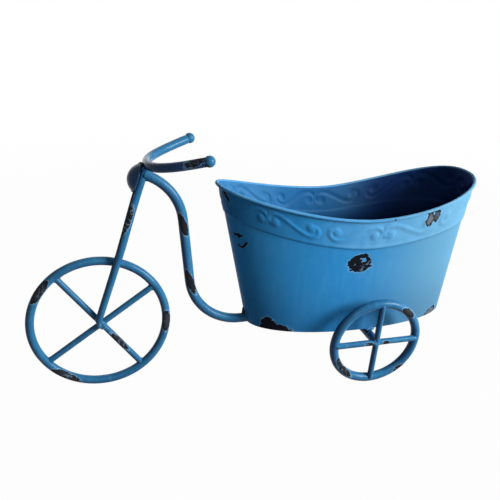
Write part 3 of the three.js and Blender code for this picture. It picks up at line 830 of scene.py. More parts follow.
# %% [markdown]
# The frame is one tube: a short neck falls back from the fork's head, a wide bend takes it down, and a
# second bend of nearly the same radius leads it under the tub, where it runs on over the axle. A pipe
# bender makes straight runs and arcs, so the path is made of just these, not of a free curve.

# %% The frame tube's line
TUBE_RADIUS, TUBE_BORE = 4.9, 3.9
NECK_FALL, NECK_LENGTH = 25.0, 6.3
UPPER_BEND_RADIUS, LOWER_BEND_RADIUS = 54.0, 52.5
DOWN_TUBE_LEAN, DOWN_TUBE_LEAD = 5.7, 7.5
SPINE_OVERHANG = 12.0
AXLE_RADIUS = 4.6
BEND_STEPS, TUBE_STEP = 40, 1.6
AXLE_ABOVE_HUB = 0.8
axle_height = rear_wheels["left"]["hub"][2] + AXLE_ABOVE_HUB
spine_height = axle_height + AXLE_RADIUS + SEAT_GAP + TUBE_RADIUS


def heading_at(angle):
    """The direction in the middle plane at an angle above level."""
    angle = np.asarray(angle, float) * DEGREE
    return np.stack([np.cos(angle), 0 * angle, np.sin(angle)], axis=-1)


def bend_points(start, first, last, radius):
    """An arc from one heading to another: its centre stands a radius to the side that it turns to."""
    turn = math.copysign(90, last - first)
    centre = start + radius * heading_at(first + turn)
    return centre - radius * heading_at(np.linspace(first, last, BEND_STEPS) + turn)


steep = DOWN_TUBE_LEAN - 90
neck_start = on_fork(FORK_LENGTH)
upper_start = neck_start + NECK_LENGTH * heading_at(-NECK_FALL)
upper_bend = bend_points(upper_start, -NECK_FALL, steep, UPPER_BEND_RADIUS)
lower_drop = LOWER_BEND_RADIUS * (1 - math.sin(DOWN_TUBE_LEAN * DEGREE))
straight = (upper_bend[-1][2] - spine_height - lower_drop) / math.cos(DOWN_TUBE_LEAN * DEGREE)
lower_bend = bend_points(upper_bend[-1] + straight * heading_at(steep), steep, 0, LOWER_BEND_RADIUS)
axle_x = rear_wheels["left"]["hub"][0]
spine_end = np.array([axle_x + SPINE_OVERHANG, 0, spine_height])
tube_path = resampled(np.concatenate([[neck_start], upper_bend, lower_bend, [spine_end]]), TUBE_STEP)
print("straight run between the two bends:", round(straight, 1), "mm")

# %% [markdown]
# The tube's rear end is sawn off and left open under the tub. So the skin goes on over the cut lip and
# some way into the bore: rows of a distance past the end and a radius, which the path alone couldn't give.
# A chip on a bar is a place in bicycle millimetres, a long direction, two half sizes and how scraped it is.

# %% Frame tube
BORE_DEPTH, BORE_ROWS = 14, 8
LIP_PROUD, LIP_OUTER_EDGE, LIP_INNER_EDGE = 0.15, 0.4, 0.3
NECK_LUMP, NECK_LUMP_ALONG = (5.0, 4.4), 5.2
lip = [(0.0, TUBE_RADIUS - LIP_PROUD), (LIP_PROUD, TUBE_RADIUS - LIP_OUTER_EDGE)]
lip += [(LIP_PROUD, TUBE_BORE + LIP_INNER_EDGE), (0.0, TUBE_BORE)]
bore = [(-depth, TUBE_BORE) for depth in np.linspace(0, BORE_DEPTH, BORE_ROWS)]
past_end, end_radius = (np.array(lip + bore)[:, k, None, None] for k in range(2))
turn = circle_turns(BAR_SIDES)
circle = np.cos(turn) * Y_AXIS + np.sin(turn) * np.cross(X_AXIS, Y_AXIS)
end_rings = spine_end + past_end * X_AXIS + end_radius * circle
rings = np.concatenate([bar_rings(tube_path, TUBE_RADIUS, Y_AXIS, seed=51), end_rings])
tube_chips = [
    ((83, -4.5, 169), (0.4, 0, -1), 15, 4.8, 0),
    ((90, -4.5, 108), (0.4, 0, -1), 17, 4.8, 0),
    ((76, 3.0, 184), (0.7, 0, -0.8), 10, 3, 0),
    ((120, 3.5, 66), (1, 0, -0.3), 12, 3, 0.4),
    ((134, -3.0, 56), (1, 0, 0), 8, 2, 0),
]
skin_piece("frame_tube_bent", rings, BAR_PAINT, ["frame_tube"], marks=bar_marks(rings, tube_chips))
place = neck_start + NECK_LUMP_ALONG * heading_at(-NECK_FALL)
weld("weld_fork_neck", place, heading_at(90 - NECK_FALL), *NECK_LUMP, bare=-0.3, seed=81)

# %% [markdown]
# The handlebar is one bar welded on top of the fork. Its middle is straight and both arms sweep back and
# up in a growing curve. A drawn curve would need handles placed by eye; a power of the share of the span
# gives such an arm with two numbers.

# %% Handlebar
BAR_RADIUS, HALF_SPAN, SETBACK = 4.4, 48.35, 1.0
SWEEP, SWEEP_POWER = 45.0, 2.6
RISE, RISE_POWER = 11.4, 2.85
HANDLEBAR_STEPS = 161
ARM_SHADE, ARM_SHADE_FROM, ARM_SHADE_TO = 0.8, 4, 16
BEND_WORN, BEND_HALF, BEND_FADE = 0.4, 10, 8
HANDLEBAR_LUMP, HANDLEBAR_LUMP_DOWN, HANDLEBAR_LUMP_AHEAD = (5.5, 3.8), 0.8, 0.6
LAMP_LUMP, LAMP_LUMP_UP, LAMP_LUMP_AHEAD = (5.0, 2.4), 1.8, 4.2
bar_middle = on_fork(FORK_TOP) + (SEAT_GAP + BAR_RADIUS) * fork_up - SETBACK * fork_forward


def handlebar_point(share):
    """Across by the share of the half span, back and up by powers of its size."""
    share = np.asarray(share, float)[..., None]
    size = np.abs(share)
    across = HALF_SPAN * share * Y_AXIS
    return bar_middle + across + SWEEP * size**SWEEP_POWER * X_AXIS + RISE * size**RISE_POWER * Z_AXIS


rings = bar_rings(handlebar_point(np.linspace(-1, 1, HANDLEBAR_STEPS)), BAR_RADIUS, Z_AXIS, seed=61)
bar_chips = [
    ((88, -50, 243.5), (0.7, -0.4, 0.5), 15, 6.2, 0),
    ((88, 47, 241), (0.7, 0.4, 0.5), 7, 3, 0),
]
# Painted shade darkens the left arm and the shaded side of the bar; the bend is paler where its paint is
# really worn.
left_arm_shade = ARM_SHADE * smooth_step(-rings[..., 1], ARM_SHADE_FROM, ARM_SHADE_TO)
bend_worn = BEND_WORN * smooth_step(BEND_HALF - np.abs(rings[..., 1]), 0, BEND_FADE)
marks = {"painted_shade": np.maximum(left_arm_shade, painted_shade_side(rings)), "wear_and_light": bend_worn}
marks.update(chip_marks(rings, bar_chips))
skin_piece("handlebar_bar", rings, BAR_PAINT, ["handlebar"], marks=marks)
place = on_fork(FORK_TOP - HANDLEBAR_LUMP_DOWN) + HANDLEBAR_LUMP_AHEAD * fork_forward
weld("weld_handlebar", place, Y_AXIS, *HANDLEBAR_LUMP, bare=-0.3, seed=83)
place = on_fork(FORK_TOP + LAMP_LUMP_UP) + LAMP_LUMP_AHEAD * fork_forward
weld("weld_lamp_top", place, Y_AXIS, *LAMP_LUMP, bare=0.3, seed=84)

# %% [markdown]
# A steel ball closes each end of the handlebar, where a real bicycle has a grip. It sits on the bar's flat
# end, so its centre stands off by the third side of the triangle of the ball's and the bar's radius.

# %% Balls on the handlebar
BALL_RADIUS, NEAR_END = 5.3, 0.98
BALL_CHIP_PLACE, BALL_CHIP = np.array([-3.0, 3.0, -3.0]), (3.5, 2.5)
ball_stand = SEAT_GAP + math.sqrt(BALL_RADIUS**2 - BAR_RADIUS**2)
for side_name, side in (("left", -1), ("right", 1)):
    end = handlebar_point(side)
    outwards = unit(end - handlebar_point(side * NEAR_END))
    centre = end + outwards * ball_stand
    rings = revolved(oval_profile(BALL_RADIUS, BALL_RADIUS, first=2, steps=30), centre, outwards)
    ball_chips = [(centre + BALL_CHIP_PLACE * [1, side, 1], X_AXIS, *BALL_CHIP, 0)]
    node = f"grip_ball_{side_name}"
    skin_piece(f"{node}_steel", rings, BAR_PAINT, [node], marks=chip_marks(rings, ball_chips))

# %% [markdown]
# The lamp is a shallow bowl, pressed from sheet with a rolled lip, and its open back lies against the
# fork's head. Its profile goes over the dome, round the lip and back under the dome, so that the sheet has
# its real thickness and the bowl is hollow from behind.

# %% Lamp bowl
LAMP_DEPTH, LAMP_SHEET, LAMP_LIP = 8.0, 0.8, 0.9
LAMP_SIDES, DOME_ROWS, NEAR_POLE = 72, 24, 0.02
ROLL_FROM, ROLL_TO, ROLL_ROWS = 100, -140, 16
LAMP_SHADE = 0.7
LAMP_CHIP_RIGHT, LAMP_CHIP_DOWN, LAMP_CHIP_BACK, LAMP_CHIP = 9, 5, 4, (5, 2.5)
mouth = LAMP_DIAMETER / 2 - LAMP_LIP
dome = (mouth**2 + LAMP_DEPTH**2) / (2 * LAMP_DEPTH)
dome_turn = math.asin(mouth / dome)


def dome_arc(size, first, last):
    """Radius and distance along a spherical cap of a given radius."""
    turn = np.linspace(first, last, DOME_ROWS) * dome_turn
    return np.stack([size * np.sin(turn), LAMP_LIP + LAMP_DEPTH - dome + size * np.cos(turn)], axis=-1)


roll = np.linspace(ROLL_FROM, ROLL_TO, ROLL_ROWS) * DEGREE
rolled_lip = np.stack([mouth + LAMP_LIP * np.cos(roll), LAMP_LIP + LAMP_LIP * np.sin(roll)], axis=-1)
inside = dome_arc(dome - LAMP_SHEET, 1, NEAR_POLE)
profile = np.concatenate([dome_arc(dome, NEAR_POLE, 1), rolled_lip, inside])
lamp_base = on_fork(FORK_LENGTH - LAMP_DROP) + (FORK_TOP_RADIUS + SEAT_GAP) * fork_forward
rings = revolved(profile, lamp_base, fork_forward, sides=LAMP_SIDES)
lamp_face = lamp_base + LAMP_DEPTH * fork_forward
place = lamp_face + LAMP_CHIP_RIGHT * Y_AXIS - LAMP_CHIP_DOWN * fork_up - LAMP_CHIP_BACK * fork_forward
lamp_chips = [(place, fork_up + Y_AXIS, *LAMP_CHIP, 0)]
# Painted shade darkens the whole bowl.
marks = {"painted_shade": LAMP_SHADE, **chip_marks(rings, lamp_chips)}
skin_piece("lamp_bowl_pressed", rings, BAR_PAINT, ["lamp_bowl"], marks=marks)

# %% [markdown]
# The rear axle is a short bar under the frame tube, welded to it and to both crossings of the spokes. Painted
# shade darkens the part of it that is under the tub.

# %% Rear axle
AXLE_SHADE, AXLE_SHADE_TO, AXLE_SHADE_END = 0.6, 50, 60
INTO_WELD, AXLE_STEPS = 0.5, 60
AXLE_CHIP_OUT, AXLE_CHIP_AHEAD, AXLE_CHIP_UP, AXLE_CHIP = 46, 2, 2, (5, 2.5)
AXLE_LUMP = (6.5, 2.8)
axle_reach = box_mm("rear_axle")[1][1] + INTO_WELD
path = np.linspace([axle_x, -axle_reach, axle_height], [axle_x, axle_reach, axle_height], AXLE_STEPS)
rings = bar_rings(path, AXLE_RADIUS, Z_AXIS, seed=71)
chip_places = [
    (axle_x - AXLE_CHIP_AHEAD, side * AXLE_CHIP_OUT, axle_height + AXLE_CHIP_UP) for side in (-1, 1)
]
axle_chips = [(place, Y_AXIS, *AXLE_CHIP, 0) for place in chip_places]
under_tub = 1 - smooth_step(np.abs(rings[..., 1]), AXLE_SHADE_TO, AXLE_SHADE_END)
marks = {"painted_shade": AXLE_SHADE * under_tub, **chip_marks(rings, axle_chips)}
skin_piece("rear_axle_bar", rings, BAR_PAINT, ["rear_axle"], marks=marks)
weld("weld_axle_tube", (axle_x, 0, axle_height + AXLE_RADIUS), Y_AXIS, *AXLE_LUMP, seed=91)

# %% [markdown]
# The tub is the showpiece. Seen from above, both its ovals are superellipses, which are ellipses pushed a
# little towards a rectangle, and the rim's oval is wider at the rear than at the front. The rim is high
# at the two ends and low at the sides, like a saddle. The wall runs straight from one oval to the other.
# A scaled and sculpted cylinder could come near. The formulas keep the sheet smooth and its sizes exact.

# %% Plan and rim height of the tub
SHEET = 0.7
FLOOR_LENGTH, FLOOR_WIDTH, FLOOR_WIDENING, FLOOR_POWER = 224.4, 91.5, -0.03, 2.05
RIM_LENGTH, RIM_WIDTH, RIM_WIDENING, RIM_POWER = 273.8, 121.2, 0.25, 2.33
RIM_LEAD = 9.5
RIM_SIDE_HEIGHT, RIM_FRONT_RISE, RIM_REAR_RISE, RIM_RISE_POWER = 125.2, 26.0, 28.6, 1.7
FLOOR_SET_UP = 8.0
WIRE_RADIUS, CURL_TURN = 0.6, 262.0
PROBE = math.pi / 84
curl_radius = WIRE_RADIUS + SEAT_GAP + SHEET / 2
bead_reach = 2 * curl_radius + SHEET / 2
tub_middle = lower_bend[-1][0] + DOWN_TUBE_LEAD + FLOOR_LENGTH / 2
rim_middle = tub_middle - RIM_LEAD
wall_bottom = spine_height + TUBE_RADIUS + SEAT_GAP - FLOOR_SET_UP


def rounded(value, power):
    """A cosine or sine pushed outwards: its size to the power of two over the superellipse's own."""
    return np.sign(value) * np.abs(value) ** (2 / power)


def plan(angle, half_length, half_width, widening, power):
    """A superellipse whose half width changes in proportion along its length."""
    along, across = rounded(np.cos(angle), power), rounded(np.sin(angle), power)
    return np.stack([half_length * along, half_width * across * (1 + widening * along), 0 * along], axis=-1)


def rim_plan(angle):
    """The wall's middle surface just under the bead, seen from above."""
    return plan(angle, RIM_LENGTH / 2 - bead_reach, RIM_WIDTH / 2 - bead_reach, RIM_WIDENING, RIM_POWER)


def outward(angle):
    """The level direction out of the rim: its course, between two points beside it, turned a quarter."""
    course = rim_plan(angle + PROBE) - rim_plan(angle - PROBE)
    return unit(np.stack([course[..., 1], -course[..., 0], 0 * course[..., 0]], axis=-1))


def wall_rise(angle):
    """The wall's height below the bead: low at the sides, with a power of the length share added."""
    along = rounded(np.cos(angle), RIM_POWER)
    end_rise = np.where(along < 0, RIM_FRONT_RISE, RIM_REAR_RISE)
    return RIM_SIDE_HEIGHT - curl_radius - SHEET / 2 + end_rise * np.abs(along) ** RIM_RISE_POWER


print("wall height at the rear, side and front:", wall_rise(np.array([0, math.pi / 2, math.pi])).round(1))

# %% [markdown]
# A raised band runs round under the bead, and in it a row of scrolls is pressed from the inside. Each
# scroll is an S whose heading turns slowly in its middle and ever faster towards both ends. Every second
# scroll is the mirror image of the last, so that their curls meet in pairs. A height picture would show
# them too, but a line with a formula stays sharp and can be fitted to any rim.

# %% The line of one scroll
SCROLL_PAIRS = 12
UNDER_HALF, OVER_HALF = 11.5, 7.0
SCROLL_SLOPE, SCROLL_TURN, SCROLL_TIGHTENING = 33.0, 265.0, 2.8
SCROLL_POINTS, RIM_POINTS = 140, 4001

rim_angle = np.linspace(0, 2 * math.pi, RIM_POINTS)
rim_steps = np.linalg.norm(np.diff(rim_plan(rim_angle), axis=0), axis=1)
rim_run = np.concatenate([[0], np.cumsum(rim_steps)])
rim_round = rim_run[-1]
pair_step = rim_round / SCROLL_PAIRS


def scroll_line():
    """Half of the S from its middle to an eye: the heading falls by a power of the share of the length,
    and the points are the running sum of the steps. The other half is the same turned by half a turn."""
    share = np.linspace(0, 1, SCROLL_POINTS)
    heading = (SCROLL_SLOPE - SCROLL_TURN * share**SCROLL_TIGHTENING) * DEGREE
    half = np.cumsum(np.stack([np.cos(heading), np.sin(heading)], axis=-1), axis=0)
    half *= (pair_step - UNDER_HALF - OVER_HALF) / 2 / half[-1, 0]
    line = np.concatenate([-half[::-1], half])
    return line + [(UNDER_HALF + pair_step - OVER_HALF) / 2, 0]


print("rim", round(rim_round, 1), "mm round; one scroll every", round(pair_step, 1), "mm")

# %% [markdown]
# The press tool left a round ridge along the line and a low disc at each eye. Every point of the band asks
# for its distance to the line, and the ridge is highest on the line. The tool was set a little unevenly
# from stroke to stroke, and slow cosines of the run round the rim follow that.

# %% The height of the scrolls anywhere on the band
SCROLL_START = 11.2
UNEVEN_ONCE, ONCE_PLACE = 5.0, 128.4
UNEVEN_TWICE, TWICE_PLACE = 6.3, 228.6
RIDGE_HALF_WIDTH, RIDGE_SHARE, RIDGE_FOOT_WIDTH = 3.7, 0.72, 1.1
EYE_RADIUS, EYE_SLOPE, EYE_SHARE = 6.0, 4.6, 0.85


def scroll_relief(run, height):
    """How far the sheet is pressed out, from 0 to 1: a ridge whose height falls off as a smooth bump of the
    distance to the line, and a disc at each eye. Mirror scrolls come from folding the run about each pair.
    Also gives the ridge's foot, as a bell about its half width."""
    once = UNEVEN_ONCE * np.cos(2 * math.pi * (run - ONCE_PLACE) / rim_round)
    twice = UNEVEN_TWICE * np.cos(4 * math.pi * (run - TWICE_PLACE) / rim_round)
    folded = np.mod(run - SCROLL_START - once - twice, 2 * pair_step)
    folded = np.minimum(folded, 2 * pair_step - folded)
    place = np.stack([folded, height], axis=-1).reshape(-1, 1, 2).astype(np.float32)
    line = scroll_line()
    near = np.sqrt(((place - line.astype(np.float32)) ** 2).sum(axis=-1).min(axis=-1)).reshape(folded.shape)
    ridge = 0.5 + 0.5 * np.cos(np.pi * np.clip(near / RIDGE_HALF_WIDTH, 0, 1))
    from_eye = np.sqrt(((place - line[[0, -1]]) ** 2).sum(axis=-1).min(axis=-1)).reshape(folded.shape)
    disc = smooth_step(EYE_RADIUS - from_eye, 0, EYE_SLOPE)
    foot_line = bell(near, RIDGE_HALF_WIDTH, RIDGE_FOOT_WIDTH) * (from_eye > EYE_RADIUS)
    return np.maximum(RIDGE_SHARE * ridge, EYE_SHARE * disc), foot_line


sample = np.meshgrid(np.linspace(0, pair_step, 60), np.linspace(-9, 9, 30))
print("highest share of the relief in one scroll:", round(float(scroll_relief(*sample)[0].max()), 2))

# %% [markdown]
# Any point of the sheet follows from four numbers: the angle round the oval, the run along the rim, the
# height up the wall, and half a sheet outwards or inwards. So one function makes both faces of the wall,
# and they keep a real thickness between them, which a Solidify modifier would lose at the pressed scrolls.

# %% A point of the sheet
BAND_DEPTH, BAND_UNEVEN, BAND_DEEPENING, BAND_PROUD, BAND_STEP = 29.5, 2.3, 12.0, 1.1, 2.6
SCROLL_DROP, DROP_UNEVEN = 13.7, 1.2
SCROLL_HEIGHT, INNER_DEEPER = 1.05, 1.45
FRONT_FADE, FADE_FROM, FADE_TO = 0.6, 116, 134
TUB_COLUMNS = 700
columns_run = np.linspace(0, rim_round, TUB_COLUMNS, endpoint=False)
columns_angle = np.interp(columns_run, rim_run, rim_angle)


def band_foot(angle, rise):
    """The height of the band's lower edge. The band is a little deeper on the left side, by a sine, and
    deepens towards the rear end by a cube."""
    to_rear = np.maximum(rounded(np.cos(angle), RIM_POWER), 0)
    return rise - (BAND_DEPTH - BAND_UNEVEN * np.sin(angle) + BAND_DEEPENING * to_rear**3)


def wall_points(angle, run, height, offset):
    """A point of the sheet: between the two ovals by its share of the height, out by the band's step, by
    the scrolls' relief and by half a sheet. The tool dents the inner face deeper than it lifts the outer,
    and the scrolls fade at the front end."""
    rise = wall_rise(angle)
    foot = band_foot(angle, rise)
    bottom = plan(angle, (FLOOR_LENGTH - SHEET) / 2, (FLOOR_WIDTH - SHEET) / 2, FLOOR_WIDENING, FLOOR_POWER)
    top = rim_plan(angle) - BAND_PROUD * outward(angle)
    bottom = bottom + np.array([tub_middle, 0, wall_bottom])
    top = top + np.array([rim_middle, 0, wall_bottom]) + rise[..., None] * Z_AXIS
    share = (height / rise)[..., None]
    stepped = smooth_step(height, foot, foot + BAND_STEP)
    relief, foot_line = scroll_relief(run, height - rise + SCROLL_DROP - DROP_UNEVEN * np.sin(angle))
    faded = 1 - FRONT_FADE * smooth_step(tub_middle - top[..., 0], FADE_FROM, FADE_TO)
    pressed = SCROLL_HEIGHT * (INNER_DEEPER if offset < 0 else 1.0)
    push = BAND_PROUD * stepped + pressed * faded * relief + offset
    return bottom + (top - bottom) * share + push[..., None] * outward(angle), foot_line


print("the tub has", TUB_COLUMNS, "columns, one every", round(rim_round / TUB_COLUMNS, 2), "mm of rim")

# %% [markdown]
# The skin of the tub is one closed cross-section swept round the oval: up the outside, over the step of
# the band, round the rolled bead, and down the inside. Rows lie close together only where the shape or a
# chip needs them, and the columns are spaced evenly along the rim.

# %% The two faces and the rolled bead
CHIPPED_SHARES = [[0, 0.003], np.linspace(0.01, 0.2, 12), np.linspace(0.27, 0.6, 5), np.linspace(0.64, 1, 28)]
BELOW_STEP, ABOVE_STEP = 0.4, 0.3
rise = wall_rise(columns_angle)
foot = band_foot(columns_angle, rise)


def face_rows(low_shares, step_count, band_count):
    """Heights of the rows of one face: shares of the plain wall, then the step, then the band."""
    low = np.asarray(low_shares)[:, None] * (foot - BELOW_STEP)
    step = foot + np.linspace(0, BAND_STEP + ABOVE_STEP, step_count)[:, None]
    band = step[-1] + np.linspace(0, 1, band_count + 1)[1:, None] * (rise - step[-1])
    return np.concatenate([low, step, band])


def sheet_face(rows, offset):
    """The points of one face, with the same columns in every row."""
    angle, run = (np.broadcast_to(columns, rows.shape) for columns in (columns_angle, columns_run))
    return wall_points(angle, run, rows, offset)


def curl_rows(size, steps):
    """The rolled bead: points round its centre, from the wall's top over and down on the outside."""
    turn = (180 - CURL_TURN * np.linspace(0, 1, steps)[1:]) * DEGREE
    out = size * np.cos(turn)[:, None, None] * outward(columns_angle)
    return curl_centre + out + size * np.sin(turn)[:, None, None] * Z_AXIS


heights = face_rows(np.concatenate(CHIPPED_SHARES), step_count=6, band_count=30)
inner_heights = face_rows(np.linspace(0, 1, 7), step_count=5, band_count=22)
outer_face, outer_foot_line = sheet_face(heights, SHEET / 2)
inner_face, inner_foot_line = sheet_face(inner_heights, -SHEET / 2)
curl_centre = wall_points(columns_angle, columns_run, rise, 0.0)[0] + curl_radius * outward(columns_angle)
under_curl = curl_rows(curl_radius - SHEET / 2, steps=9)
over_curl = curl_rows(curl_radius + SHEET / 2, steps=15)
section = np.concatenate([outer_face, under_curl, over_curl[::-1], inner_face[::-1]])
print("the section has", len(section), "points and goes round", section.shape[1], "times")

# %% [markdown]
# On the outside, painted shade darkens the wall under the bead, at the band's step, round the scrolls,
# towards the foot and at the front end. The band and its ledge are painted lighter, as where they catch the
# light, with a painted highlight along the ledge, most of all along the middle. Soft steps and bells of the
# height and the length say all of that.

# %% Painted shade and painted light on the outer face
FOOT_SHADE, FOOT_SHADE_TOP = 0.30, 75
BEAD_SHADOW, BEAD_SHADOW_FROM, BEAD_SHADOW_TO = 0.35, 2.6, 0.3
STEP_SHADE, STEP_PLACE, STEP_WIDTH = 0.05, -0.5, 2.0
SCROLL_SHADE = 0.06
FRONT_FROM, FRONT_TO, FRONT_LOW_SHADE, FRONT_BAND_SHADE, FRONT_BAND_START = 50, 125, 0.06, 0.26, 4
LEDGE_HIGHLIGHT, LEDGE_PLACE, LEDGE_WIDTH = 0.45, 1.2, 1.6
BAND_LIGHT, BAND_LIGHT_FROM, BAND_LIGHT_TO = 0.6, 1, 6
LIT_FROM, LIT_TO, REAR_LESS, REAR_LESS_TO = -75, 5, 0.5, 80

along = outer_face[..., 0] - tub_middle
at_foot = 1 - smooth_step(heights, 0, FOOT_SHADE_TOP)
under_bead = smooth_step(heights, rise - BEAD_SHADOW_FROM, rise - BEAD_SHADOW_TO)
at_step = bell(heights - foot, STEP_PLACE, STEP_WIDTH)
front_band_shade = FRONT_BAND_SHADE * smooth_step(heights, foot, foot + FRONT_BAND_START)
front_shade = smooth_step(-along, FRONT_FROM, FRONT_TO) * (FRONT_LOW_SHADE + front_band_shade)
outer_painted_shade = FOOT_SHADE * at_foot + front_shade + BEAD_SHADOW * under_bead + STEP_SHADE * at_step
outer_painted_shade = np.clip(outer_painted_shade + SCROLL_SHADE * outer_foot_line, 0, 1)
on_ledge = bell(heights - foot, BAND_STEP + LEDGE_PLACE, LEDGE_WIDTH)
on_band = smooth_step(heights, foot + BAND_LIGHT_FROM, foot + BAND_LIGHT_TO)
lit_share = smooth_step(along, LIT_FROM, LIT_TO)
lit_share *= 1 - REAR_LESS * smooth_step(along, 0, REAR_LESS_TO)
outer_painted_light = lit_share * (LEDGE_HIGHLIGHT * on_ledge + BAND_LIGHT * on_band)
# The print gives the most painted shade and the most painted light of the outer face.
print("outer face: wash up to", round(outer_painted_shade.max(), 2), "and wear up to", round(outer_painted_light.max(), 2))

# %% [markdown]
# Inside, painted shade darkens the coat, more towards the middle and the rear, and makes it almost black-blue
# below the band, where the rim's shadow falls. The front end, which the key lamp lights, is painted a little
# paler, and the bead carries a painted highlight.

# %% Painted shade and painted light on the inner face and the bead
INSIDE_SHADE, MIDDLE_MORE, MIDDLE_FROM, MIDDLE_TO = 0.48, 0.14, -90, -15
REAR_MORE, REAR_TO, INSIDE_MOST = 0.35, 65, 0.97
SHADOW_LINE, SHADOW_FADE, INNER_SCROLL_SHADE = 1, 7, 0.03
INNER_LIGHT, INNER_LIGHT_FROM, INNER_LIGHT_TO, BEAD_HIGHLIGHT = 0.18, 40, 110, 0.5

along = inner_face[..., 0] - tub_middle
to_middle, to_rear = smooth_step(along, MIDDLE_FROM, MIDDLE_TO), smooth_step(along, 0, REAR_TO)
deepening = INSIDE_SHADE + MIDDLE_MORE * to_middle + REAR_MORE * to_rear
below_band = smooth_step(foot + SHADOW_LINE - inner_heights, 0, SHADOW_FADE)
inner_painted_shade = np.clip(np.maximum(deepening, INSIDE_MOST * below_band), 0, INSIDE_MOST)
inner_painted_shade += INNER_SCROLL_SHADE * inner_foot_line
inner_painted_light = INNER_LIGHT * smooth_step(-along, INNER_LIGHT_FROM, INNER_LIGHT_TO)


def on_section(outer, under, over, inner):
    """One mark for the whole section: arrays for the faces, and a plain number for each side of the bead."""
    bead = [np.full(rows.shape[:2], value) for rows, value in ((under_curl, under), (over_curl, over))]
    return np.concatenate([outer, *bead, inner[::-1]])


painted_shade = on_section(outer_painted_shade, 0.0, 0.0, inner_painted_shade)
wear_and_light = on_section(outer_painted_light, 0.0, BEAD_HIGHLIGHT, inner_painted_light)
# The print gives the range of painted shade on the inner face.
print("inner face: wash from", round(inner_painted_shade.min(), 2), "to", round(inner_painted_shade.max(), 2))

# %% [markdown]
# The tub's chips were knocked through in a few places: one big one on the left side, one at the rim, some
# along the bottom edge and fine ones at the front. A big chip is several patches that overlap, because one
# oval looks stamped. The inner face keeps its coat.

# %% The tub's wall
def tub_chip(along, side, height, direction, half_length, half_width, scraped=0.0):
    """A chip on the tub: how far behind the tub's middle, how far out to the side, how high above its
    bottom edge, and its long direction along the bicycle, outwards and up."""
    return (tub_middle + along, side, wall_bottom + height), direction, half_length, half_width, scraped


TUB_CHIPS = [
    (-18.4, -52, 81.4, (0.7, -0.1, 0.7), 10.0, 4.8),
    (-9.4, -53, 86, (1, -0.1, 0.1), 5.5, 3.0),
    (-14, -52, 79.5, (0.6, -0.1, 0.6), 5.5, 2.8),
    (-3.9, -53, 81.5, (0.6, 0, -0.8), 6.3, 2.7),
    (-11, -52, 73.9, (1, -0.1, 0.2), 12.8, 6.3),
    (54.5, -58.7, 121.6, (0.3, 0, 1), 9.0, 5.2, 1),
    (62, -57.6, 125, (0.2, -0.1, 1), 8.0, 4.4, 0.4),
    (55, -60, 130, (1, 0, 0.2), 9, 1.6, 0.5),
    (-95.5, -26.2, 6.5, (0.8, -0.55, 0), 9.0, 9.5),
    (-86, -31, 2.0, (0.9, -0.45, -0.1), 17, 7.0),
    (-99.4, -23, 2, (0.8, -0.6, 0), 5.5, 3.2),
    (90, -28, 3.5, (0.84, 0.41, 0.34), 11, 5.6, 1),
    (-129.6, -13, 102.4, (0.5, -0.85, 0.2), 2.6, 1.9),
    (-127, -16.4, 102, (0.5, -0.4, -0.7), 3.4, 2.6),
    (-124.4, -19.5, 102.6, (0.7, -0.7, 0), 1.3, 1.3),
    (-125.7, -15.2, 90.9, (0.6, -0.6, -0.5), 3.6, 1.4),
    (-123.4, -17.8, 90.2, (0.6, -0.7, 0.2), 3.6, 1.5),
    (-120.8, -21, 93.6, (0.4, -0.5, 0.8), 4.6, 1.7),
    (-140, -11.6, 142.5, (0.3, -0.3, -0.9), 4.2, 2.8),
    (-138, -14.8, 138.8, (0.3, -0.5, -0.8), 4.5, 1.7),
    (15, -62, 125, (1, 0, 0), 1.8, 1.1),
    (-30, 48, 18, (1, 0, 0.4), 13, 8),
    (52, 54, 78, (1, 0, -0.5), 12, 7),
    (-70, 53, 118, (1, 0, 0.2), 9, 6, 1),
    (110, 12, 20, (0, 1, 0.4), 9, 6),
    (134, -20, 147, (0, 1, 0.2), 8, 5, 1),
]
marks = {"painted_shade": painted_shade, "wear_and_light": wear_and_light, **chip_marks(section, [tub_chip(*row) for row in TUB_CHIPS])}
marks["chip"][-len(inner_face) :] = NO_CHIP
skin_piece("tub_wall_embossed", section, TUB_PAINT, ["tub_wall"], endless=True, marks=marks)

# %% [markdown]
# Three lumps of weld hold the tub: one where the frame tube meets its front, and one on each side where
# its bottom edge crosses the axle.

# %% Welds of the tub
TUB_LUMP, TUB_LUMP_AHEAD, TUB_LUMP_UP = (5.5, 3), 1.6, 7
EDGE_LUMP, EDGE_LUMP_INSIDE, EDGE_LUMP_DOWN = (5.5, 2.0), 0.6, 0.8
place = (tub_middle - FLOOR_LENGTH / 2 - TUB_LUMP_AHEAD, 0, spine_height + TUB_LUMP_UP)
weld("weld_tub_front", place, Z_AXIS, *TUB_LUMP, bare=0.9, seed=93)
for side_name, side in (("left", -1), ("right", 1)):
    place = (axle_x, side * (FLOOR_WIDTH / 2 - EDGE_LUMP_INSIDE), wall_bottom - EDGE_LUMP_DOWN)
    weld(f"weld_tub_axle_{side_name}", place, X_AXIS, *EDGE_LUMP, bare=0.0, seed=94)

# %% [markdown]
# The floor is an oval plate set up inside the wall, with its edge turned down, as on a bucket. It is a few
# rings of the wall's own oval, each drawn in by its own inset, so that it fits the taper all round. Every
# pair below is a height and an inset, from the top down the outside and up the inside to the underside.

# %% Tub floor
FLOOR_COLUMNS = 300
PLATE_TOP = FLOOR_SET_UP + SHEET
floor_angle = np.interp(np.linspace(0, rim_round, FLOOR_COLUMNS, endpoint=False), rim_run, rim_angle)


def floor_ring(height, inset):
    """The wall's own oval at a height, drawn in by half a sheet, the gap and an inset."""
    level = np.full_like(floor_angle, height)
    ring = wall_points(floor_angle, 0 * floor_angle, level, 0.0)[0]
    return ring - (SHEET / 2 + SEAT_GAP + inset) * outward(floor_angle)


